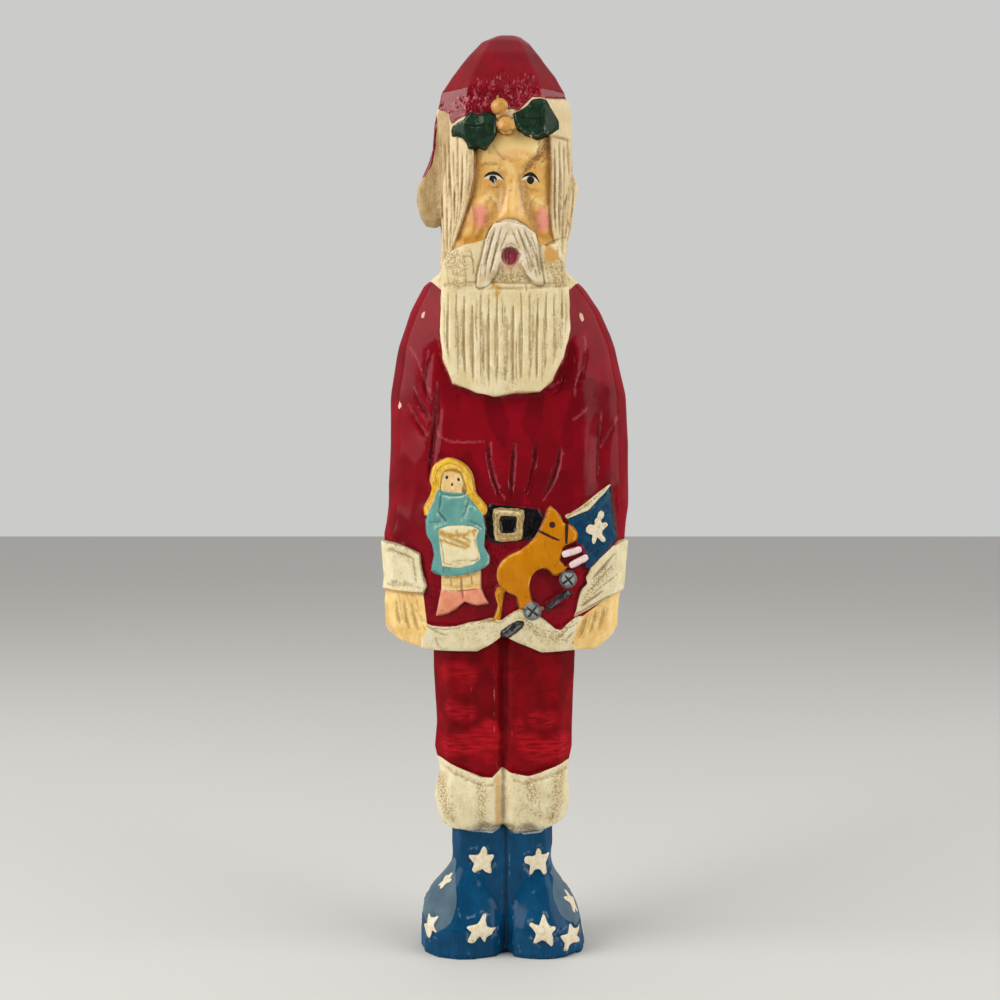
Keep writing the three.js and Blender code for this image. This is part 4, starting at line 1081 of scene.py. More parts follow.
bootForm = {
    "starHeight": 0.35,  # mm
    "starSlope": 0.5,
    "scar": (1.0, 0.45),  # mm, the knife's slips round a star: wide, deep
    "legPlane": (2.6, 0.22),  # the gouge's long strokes down the trousers
    "cuffLedge": (1.8, 0.1),
    "ankle": (5.0, 0.5),  # the scoop under each cuff
    "legScratch": (1.0, 0.3),
    "cuffScratch": (0.8, 0.2),
    "scars": (55, 125, 200, 235, 305, 340),  # degrees round each star, and how far each strays
    "stray": 12,
    "sweep": (0.3, 0.5),  # radians that a scar runs on round the star
    "ends": (0.95, 1.15),  # how far out a scar starts and ends, in half widths of the star
}
bootCuffTop = [(-150, 226), (-90, 213), (-71, 206), (-45, 196), (-26, 189), (-14, 189), (-3, 199), (5, 194),
               (25, 190), (38, 193), (52, 198), (75, 204), (150, 216)]
bootCuffFoot = [(150, 146), (90, 139), (54, 135), (38, 130), (14, 128), (4, 132), (-2, 137), (-14, 130),
                (-35, 130), (-63, 131), (-90, 136), (-150, 142)]
# the stars as they were cut, no two alike
bootStars = (
    [(-23.5, 113), (-21.5, 113), (-19.5, 109), (-19, 104), (-16, 104.5), (-12, 105), (-11.5, 103),
     (-13.5, 99), (-15.5, 96), (-15.5, 91.5), (-14.5, 85.5), (-16, 84.5), (-21, 86), (-24.5, 88.5),
     (-27.5, 87), (-32.5, 84.5), (-35, 86), (-35.5, 88.5), (-34, 91.5), (-33.5, 94), (-36, 97),
     (-39, 100.5), (-39, 103), (-35, 103), (-30, 103), (-27, 105.5), (-25.5, 109.5)],
    [(35.5, 110), (38, 109), (39, 106.5), (39.5, 103), (43, 103), (47, 103), (48.5, 101), (47, 98),
     (44, 94), (44.5, 89), (45, 84), (43.5, 82), (41.5, 82.5), (38.5, 87), (35.5, 88), (31.5, 87),
     (29, 83), (26.5, 82.5), (25.5, 84), (27, 89), (27, 92), (25, 93.5), (21.5, 95), (20.5, 99),
     (22, 102), (25, 102.5), (29.5, 101.5), (33, 103), (33.5, 107.5)],
    [(-23.5, 45), (-19.5, 45), (-19, 44), (-20, 43), (-20.5, 38), (-19.5, 33.5), (-16, 31.5),
     (-9.5, 31), (-9.5, 29.5), (-13, 27), (-13.5, 24.5), (-17.5, 23), (-20, 21.5), (-20.5, 18),
     (-22, 17), (-24, 20), (-26.5, 24), (-29.5, 22), (-32.5, 18), (-36.5, 17.5), (-40, 19),
     (-38.5, 23), (-35.5, 29), (-38.5, 31), (-41, 33), (-40.5, 34.5), (-36, 35), (-29.5, 36),
     (-26.5, 39.5)],
    [(40, 45), (42, 45), (43, 42), (45.5, 36), (48, 34), (53.5, 33), (54, 31.5), (51, 28.5),
     (49.5, 27), (51, 22), (50.5, 15.5), (49, 14), (46.5, 16), (42.5, 19.5), (39, 20.5), (36, 19),
     (32.5, 17), (30, 17.5), (30, 19.5), (32, 24), (32.5, 27), (30, 31), (25.5, 35), (26, 37),
     (28.5, 37.5), (32.5, 36), (36, 35.5), (38, 39.5)],
    [(68.5, 33), (70.5, 32.5), (73, 28), (75.5, 26.5), (80, 26), (81, 24.5), (78.5, 21), (77, 18.5),
     (79.5, 15), (80.5, 12), (78.5, 11), (74.5, 12.5), (72.5, 13), (69, 12), (66.5, 7), (63, 7),
     (62, 8.5), (63, 12.5), (63.5, 15), (61, 19), (58.5, 22), (59, 24), (62.5, 24), (66.5, 24.5),
     (68, 29)],
    [(-71.5, 42), (-71.5, 40.5), (-74, 36.5), (-76.5, 32.5), (-75.5, 29), (-73, 26.5), (-73.5, 24.5),
     (-76.5, 25.5), (-78.5, 25.5), (-79, 21.5), (-81, 16.5), (-82.5, 16.5), (-84.5, 19.5), (-86, 24.5),
     (-87.5, 27), (-87, 29), (-84, 31), (-83.5, 35), (-82.5, 40.5), (-81, 40.5), (-80, 38), (-76.5, 39)],
)
# the hollow outer side of each boot, and its shape as seen from that side
sideScoops = ([(-58, 98), (-54, 84), (-53, 70), (-52, 56), (-54, 46), (-58, 37), (-65, 31), (-72, 27),
             (-83, 29), (-90, 37), (-110, 37), (-110, 98)],
              [(53, 84), (52, 77), (52, 60), (55, 52), (58, 46), (66, 37), (74, 32), (83, 29),
             (110, 29), (110, 84)])
hollowEnd = [(10, 22), (24, 35), (28, 54), (20, 72), (6, 84), (-10, 92), (-24, 104), (90, 104), (90, 22)]
# the stars behind and at the sides: side, across, up, radius, turn, and how narrow if not full
moreStars = (("back", -25, 104, 12, 6), ("back", 33, 102, 12, -8), ("back", -30, 36, 13, 14),
             ("back", 42, 36, 13, -4), ("right", -3, 14, 9, 8), ("right", 32, 27, 11, -10),
             ("left", 28, 27, 11, 12), ("left", -6, 22, 10, -6), ("right", -20, 49, 13, -16),
             ("left", -24, 73, 9.5, 8, 0.7), ("right", 14, 62, 9, 10), ("left", 10, 52, 9, 4))


def trousers(block):
    grooves(block, bootForm["legPlane"], [
        [(-40, 300), (-39, 270), (-41, 240)], [(38, 310), (36, 260), (40, 215)], [(-66, 290), (-64, 240)],
    ], fade=0.3, gouge=True)
    nicks(block, [(-70, 320), (-12, 320), (-12, 210), (-66, 215)], 26, 5, 2.4, 0.12, spread=10)
    nicks(block, [(8, 320), (66, 320), (64, 205), (10, 200)], 26, 5, 2.4, 0.12, spread=10)
    cut(block, [(-2, 325), (-3, 300), (-2, 270)], *bootForm["legScratch"])
    # brighter where the paint was laid on thinner
    dryBrush("pale", (
        ([(-62, 302), (-52, 305), (-40, 299)], 28, 0.6),
        ([(-58, 262), (-48, 256), (-39, 257)], 24, 0.6),
        ([(-58, 220), (-46, 224), (-34, 222), (-28, 230)], 34, 0.75),
        ([(32, 252), (40, 248), (48, 250)], 24, 0.65),
        ([(26, 224), (38, 216), (52, 218), (60, 222)], 38, 0.8),
        ([(-16, 244), (-12, 230), (-15, 212)], 24, 0.75),
        ([(14, 246), (18, 232)], 18, 0.6),
    ))


def bootCuffs(block):
    area("creamFur", bootCuffTop + bootCuffFoot, "round", 0.16)
    ledge = [(x, z - 10) for x, z in bootCuffTop if abs(x) < 90]
    cut(block, smoothPath(ledge), *bootForm["cuffLedge"], fade=0.02)
    cut(block, [(38, 180), (37, 160), (38, 140)], *bootForm["cuffScratch"])
    for outline, count in (
        ([(-74, 190), (-52, 190), (-52, 142), (-68, 142)], 50),
        ([(-34, 184), (-16, 182), (-16, 142), (-34, 142)], 44),
        ([(10, 184), (30, 184), (30, 142), (10, 142)], 34),
        ([(40, 192), (70, 196), (64, 142), (44, 142)], 60),
    ):
        nicks(block, outline, count, 1.1, 0.9, 0.16, spread=70)
    stroke("brown", [(-70, 184), (-66, 160), (-60, 144)], 18, 0.9)
    stroke("brown", [(-26, 182), (-25, 144)], 16, 0.7)
    stroke("brown", [(26, 182), (30, 168)], 20, 0.7)
    stroke("brown", [(58, 190), (56, 160), (52, 144)], 18, 0.8)
    stroke("brown", [(20, 158), (36, 150)], 12, 0.5)
    stroke("ochre", [(-8, 190), (-8, 165), (-8, 140)], 9, 0.6)
    stroke("brown", [(-9, 188), (-9, 140)], 3, 0.35)
    # the scoop under each cuff, cut and painted grey-blue as shade
    for scoop in ([(-38, 133), (-24, 135), (-10, 134)], [(8, 131), (24, 133), (38, 133)]):
        cut(block, smoothPath(scoop), *bootForm["ankle"], fade=0.3, gouge=True)
        stroke("cool", smoothPath(scoop), 9, 0.9)


def boots(block):
    height, slope = bootForm["starHeight"], bootForm["starSlope"]
    stray, (near, far) = bootForm["stray"], bootForm["ends"]
    others = [(side, smoothPath(star(*place), True, 3)) for side, *place in moreStars]
    for outline in bootStars:
        stand(block, outline, height, slope, "round")
    for side, outline in others:
        stand(block, outline, height, slope, side)
    for outline in bootStars:
        low, high = np.min(outline, axis=0), np.max(outline, axis=0)
        middle, reach = (low + high) / 2, (high - low) / 2
        for angle in bootForm["scars"]:
            a = math.radians(angle + rng.uniform(-stray, stray))
            b = a + rng.uniform(*bootForm["sweep"])
            start = middle + reach * (math.cos(a), math.sin(a)) * near
            end = middle + reach * (math.cos(b), math.sin(b)) * far
            cut(block, [start, end], *bootForm["scar"], "round", fade=0.3)
            stroke("cool", [start * 1.01 - middle * 0.01, end], 1.9, 1.0)
    area("bootBlue", bootCuffFoot + [(-150, -20), (150, -20)], "round")
    # the hollow sides in dull slate blue: a painted reflection of the sheen on them
    for scoop in sideScoops:
        area("scoopSheenBlue", smoothPath(scoop, True, 3), "round")
    for side in ("left", "right"):
        area("bootBlue", np.vstack([smoothPath(hollowEnd[:7], steps=3), hollowEnd[7:]]), side)
    for worn in (
        [(-60, 133), (-40, 130.5), (-14, 130), (-4, 135), (-14, 127.5), (-34, 128.5), (-58, 131)],
        [(6, 131), (14, 128), (38, 129), (50, 132), (38, 127), (22, 125.5), (10, 128)],
    ):
        area("wornWhite", worn, tremble=0.3)
    for outline in bootStars:
        area("starCream", outline)
    for side, outline in others:
        area("starCream", outline, side, 0.12)
    for x, z in ((-30, 78), (10, 60), (-8, 20), (30, 66), (-50, 50), (14, 14), (-40, 12)):
        stroke("cool", [(x, z), (x + 2, z - 8)], 1.4, 0.5)


def carve(figure):
    block = openBlock(figure)
    blend(figure, block)
    shave(block)
    hat(block)
    hair(block)
    tail(block)
    visage(block)
    cheekBeard(block)
    beard(block)
    moustache(block)
    holly(block)
    eyes()
    coat(block)
    hem(block)
    trousers(block)
    hands(block)
    cuffs(block)
    belt(block)
    doll(block)
    flag(block)
    horse(block)
    bells(block)
    bootCuffs(block)
    boots(block)
    trim(figure, block["points"])
    writeAttribute(figure.data, "facet", block["facet"])


# Wear: what lies low keeps the brown wash, what stands high is rubbed through

wear = {
    "fine": 3,  # rounds of averaging that a small cut shows in
    "broad": 14,  # further rounds that a whole form shows in
    "cutDepth": 0.15,  # mm below its surroundings where the wash is full
    "cutForm": 0.2,  # how much the form counts beside the small cut
    "edgeHeight": 0.06,  # mm above them where paint is worn off
    "edgeForm": 0.15,
    "grimeDepth": 0.25,  # mm below the form where dirt lies thick
}


def writeAttribute(mesh, name, values):
    layer = mesh.attributes.new(name, "FLOAT", "POINT")
    layer.data.foreach_set("value", np.ascontiguousarray(values, dtype=np.float32))


def markWear(figure):
    mesh = figure.data
    points = readArray(mesh.vertices, "co", 3)
    normals = readArray(mesh.vertices, "normal", 3)
    edges = readArray(mesh.edges, "vertices", 2, np.int32)
    counts = np.maximum(np.bincount(edges.ravel(), minlength=len(points)), 1)
    fine = neighbourAverage(points, edges, counts, wear["fine"])
    broad = neighbourAverage(fine, edges, counts, wear["broad"])
    low = np.einsum("ij,ij->i", fine - points, normals) / mm
    wide = np.einsum("ij,ij->i", broad - points, normals) / mm
    cuts = (low + wear["cutForm"] * wide) / wear["cutDepth"]
    worn = -(low + wear["edgeForm"] * wide) / wear["edgeHeight"]
    for name, values in (("cuts", cuts), ("worn", worn), ("grime", wide / wear["grimeDepth"])):
        writeAttribute(mesh, name, np.clip(values, 0, 1))


thinning = {
    "face": (-70, 70, 740, 945),  # kept finest: left, right, low, high
    "toys": (-95, 128, 340, 536),
    "beard": (-70, 70, 600, 740),
    "locks": (700, 880),  # heights between which the hair is fluted
    "ahead": 0.15,  # what faces back by less than this counts as the front
    "furrow": 0.3,  # share of "cuts" from which the sides and back are kept as fine as the hair
    "border": 0.9,  # mm to each side of a painted border that is kept fine
    "mark": 0.8,  # so many widths about a thin brush mark's middle are kept fine
    "thinMark": 3,  # a mark on the front is thin below this width
    "keep": {"fine": 0.08, "front": 0.4, "locks": 0.3, "back": 0.9},  # how freely each is thinned
    "force": 12.0,  # how much those shares count beside the shape
    "fold": 1.7,  # radians between two faces that is a fold, not a form
    "passes": 12,  # rounds of easing the folds
}


def thin(figure):
    mesh = figure.data
    points = readArray(mesh.vertices, "co", 3)
    normals = readArray(mesh.vertices, "normal", 3)
    x, z = (points[:, (0, 2)] / grid).T
    ahead = normals[:, 1] < thinning["ahead"]
    fine = np.zeros(len(points), bool)
    for left, right, low, high in (thinning["face"], thinning["toys"], thinning["beard"]):
        fine |= ahead & (x > left) & (x < right) & (z > low) & (z < high)
    for _, outline, side, _ in areas:
        fine |= np.abs(borderField(points, outline, side, 0)) < thinning["border"] * mm
    for kind, path, width, _, side in strokes:
        thinFront = side == "front" and kind in ("pale", "cool") and width < thinning["thinMark"]
        if side in ("back", "left", "right") or thinFront:
            near, away = underBrush(points, normals, path, width, side)
            fine[near[away < width * thinning["mark"]]] = True
    spare = figure.vertex_groups.new(name="spare")
    low, high = thinning["locks"]
    cuts = readArray(mesh.attributes["cuts"].data, "value", 1)
    locks = ~fine & ~ahead & (((z > low) & (z < high)) | (cuts > thinning["furrow"]))
    rest = ~(ahead | fine | locks)
    for name, mask in (("fine", fine), ("front", ahead & ~fine), ("locks", locks), ("back", rest)):
        spare.add(np.flatnonzero(mask).tolist(), thinning["keep"][name], "REPLACE")
    thinner = figure.modifiers.new("thin", "DECIMATE")
    thinner.ratio = wood["triangles"] / (2 * len(mesh.vertices))
    thinner.use_collapse_triangulate = True
    thinner.vertex_group = spare.name
    thinner.vertex_group_factor = thinning["force"]
    settle(figure)
    figure.vertex_groups.clear()
    unfold(figure.data)
    trim(figure, readArray(figure.data.vertices, "co", 3))


def unfold(mesh):
    # A face that thinning folded over its neighbour is eased until it lies flat
    skin = bmesh.new()
    skin.from_mesh(mesh)
    for _ in range(thinning["passes"]):
        skin.normal_update()
        folded = {vert.index for edge in skin.edges if edge.calc_face_angle(0) > thinning["fold"]
                  for face in edge.link_faces for vert in face.verts}
        skin.verts.ensure_lookup_table()
        bmesh.ops.smooth_vert(skin, verts=[skin.verts[i] for i in sorted(folded)], factor=0.5,
                              use_axis_x=True, use_axis_y=True, use_axis_z=True)
    print("folds left:", len(folded))
    skin.to_mesh(mesh)
    skin.free()


# Painting: the border of each area is cut into the mesh, and the faces inside take the paint

painting = {
    "front": -1.0,  # mm: a front area ends at this depth, a back area starts there
    "turned": 0.12,  # a mark reaches what faces its side by this much
    "soft": 0.7,  # the share of its half width over which a mark comes in
    "side": 17.0,  # mm from the middle that a side's area starts at
    "nearBorder": 3.0,  # mm, longer than any edge near a border
    "snap": 0.1,  # a border this near to an edge's end, as a share of it, runs through the end
}


def borderField(points, outline, side, tremble):
    # Signed distance of each vertex to an area's border, negative inside
    spots = drawn(points, side)
    margin = painting["nearBorder"] * mm / grid * 1.5
    near = np.all((spots > outline.min(axis=0) - margin) & (spots < outline.max(axis=0) + margin), axis=1)
    field = np.ones(len(points))
    field[near] = signedDistance(spots[near], outline) * grid
    field[near] += shakyHand(points[near]) * tremble * mm
    limit = painting["front"] * mm
    if side == "front":
        field = np.maximum(field, points[:, 1] - limit)
    if side == "back":
        field = np.maximum(field, limit - points[:, 1])
    if side in ("left", "right"):
        field = np.maximum(field, painting["side"] * mm - points[:, 0] * facing[side][1])
    return field


def paintArea(paintwork, points, slot, outline, side, tremble):
    field = borderField(points, outline, side, tremble)
    verts = paintwork.verts
    verts.ensure_lookup_table()
    near = np.flatnonzero((field < 0) & (field > -painting["nearBorder"] * mm))
    crossing = []
    for i in near:
        vert = verts[i]
        for edge in vert.link_edges:
            other = edge.other_vert(vert)
            if field[other.index] > 0:
                crossing.append((edge, vert, other, field[i] / (field[i] - field[other.index])))
    onBorder = {}  # a dictionary keeps its order, so every run cuts the mesh alike
    for edge, vert, other, share in crossing:
        if share < painting["snap"]:
            onBorder[vert] = True
        elif share > 1 - painting["snap"]:
            onBorder[other] = True
    for vert in onBorder:
        field[vert.index] = 0
    made = []
    for edge, vert, other, share in crossing:
        if vert not in onBorder and other not in onBorder:
            made.append(bmesh.utils.edge_split(edge, vert, share)[1])
    meeting = [*made, *onBorder]
    if meeting:
        bmesh.ops.connect_verts(paintwork, verts=meeting)
    wide = dict.fromkeys(face for vert in meeting for face in vert.link_faces if len(face.verts) > 3)
    bmesh.ops.triangulate(paintwork, faces=list(wide))
    verts.index_update()
    verts.ensure_lookup_table()
    points = np.vstack([points, np.zeros((len(made), 3))])
    field = np.append(field, np.zeros(len(made)))
    for vert in made:
        points[vert.index] = vert.co
    for i in np.flatnonzero(field < 0):
        for face in verts[i].link_faces:
            if sum(field[v.index] for v in face.verts) < 0:
                face.material_index = slot
    return points


def paintFigure(figure, order):
    paintwork = bmesh.new()
    paintwork.from_mesh(figure.data)
    bmesh.ops.triangulate(paintwork, faces=[f for f in paintwork.faces if len(f.verts) > 3])
    points = readArray(figure.data.vertices, "co", 3)
    for paint, outline, side, tremble in areas:
        points = paintArea(paintwork, points, order[paint], outline, side, tremble)
    for face in paintwork.faces:
        face.smooth = True
    paintwork.to_mesh(figure.data)
    paintwork.free()


def underBrush(points, normals, path, width, side):
    # The vertices near a brush mark, and how far each is from its middle line
    spots = drawn(points, side)
    near = nearPath(spots, normals, path, width, side, painting["turned"])
    return near, distanceToPath(spots[near], path)[0]


def markStrokes(figure):
    # Dry-brushed marks, painted highlights and painted shade as attributes that the paints read
    mesh = figure.data
    points = readArray(mesh.vertices, "co", 3)
    normals = readArray(mesh.vertices, "normal", 3)
    marks = {kind: np.zeros(len(points)) for kind in ("brown", "ochre", "pale", "blush", "cool")}
    for kind, path, width, strength, side in strokes:
        near, away = underBrush(points, normals, path, width, side)
        mark = strength * smoothStep((1 - away / (width / 2)) / painting["soft"])
        marks[kind][near] = np.maximum(marks[kind][near], mark)
    for kind, values in marks.items():
        writeAttribute(mesh, kind, values)


# Paints

def hexColour(code):
    # sRGB, as a paint chart gives it, turned to the renderer's linear values
    channels = [int(code[i:i + 2], 16) / 255 for i in (1, 3, 5)]
    return (*[c / 12.92 if c <= 0.04045 else ((c + 0.055) / 1.055) ** 2.4 for c in channels], 1)


def feed(tree, node, inputs):
    # What comes from another node is linked, anything else is set
    for key, value in inputs.items():
        if isinstance(value, bpy.types.NodeSocket):
            tree.links.new(value, node.inputs[key])
        else:
            node.inputs[key].default_value = value


def addNode(tree, kind, inputs=None, **settings):
    made = tree.nodes.new(kind)
    for name, value in settings.items():
        setattr(made, name, value)
    feed(tree, made, inputs or {})
    return made


plainPaint = {
    "dark": "#3a2a18",  # the wash left in the cuts
    "worn": "#e8dcc0",  # what shows where an edge is rubbed
    "brown": "#94651f",
    "ochre": "#cf9534",
    "pale": "#f4e6bc",
    "cool": "#8c98a2",
    "wash": 0.6,  # how strongly the wash, worn edges and specks show
    "rub": 0.25,
    "speck": 0.0,
    "dirt": 0.22,  # how far dirt brings the specks up
    "blotch": 7.0,  # mm, patches where the coat is thicker
    "pore": 0.9,  # mm
    "rubPatch": 6.0,  # mm, patches within which edges are rubbed through
    "brush": (0.8, 0.8, 6.0),  # mm, the grain of the brush marks each way
    "streak": 0.55,
    "stipple": (0.35, 0.6, 0.55),  # pore values between which a mark comes up, and what shows below
    "facets": 0.0,  # how much the tone changes from one knife facet to the next
    "dragged": 0.0,  # how far the brush broke up its pale marks
    "brushDepth": 0.05,  # mm
    "rough": 0.5,  # of the paint, and how it varies with the brush marks
    "roughVaries": (0.85, 1.2),
    "shine": 0.3,  # of the paint under the varnish
    "coat": 0.2,  # how much varnish, and how dull it is
    "coatRough": 0.2,
}
# between which noise or attribute values each layer comes up
showing = {
    "blotch": (0.4, 0.62),
    "streak": (0.5, 0.72),
    "dragged": (0.38, 0.6),
    "facets": ((0.55, 0.75), (0.45, 0.25)),  # the lighter facets, then the deeper ones
    "speck": (0.58, 0.68),
    "cuts": (0.1, 0.8),
    "worn": (0.46, 0.6),
    "sheen": (0.3, 0.7),
}

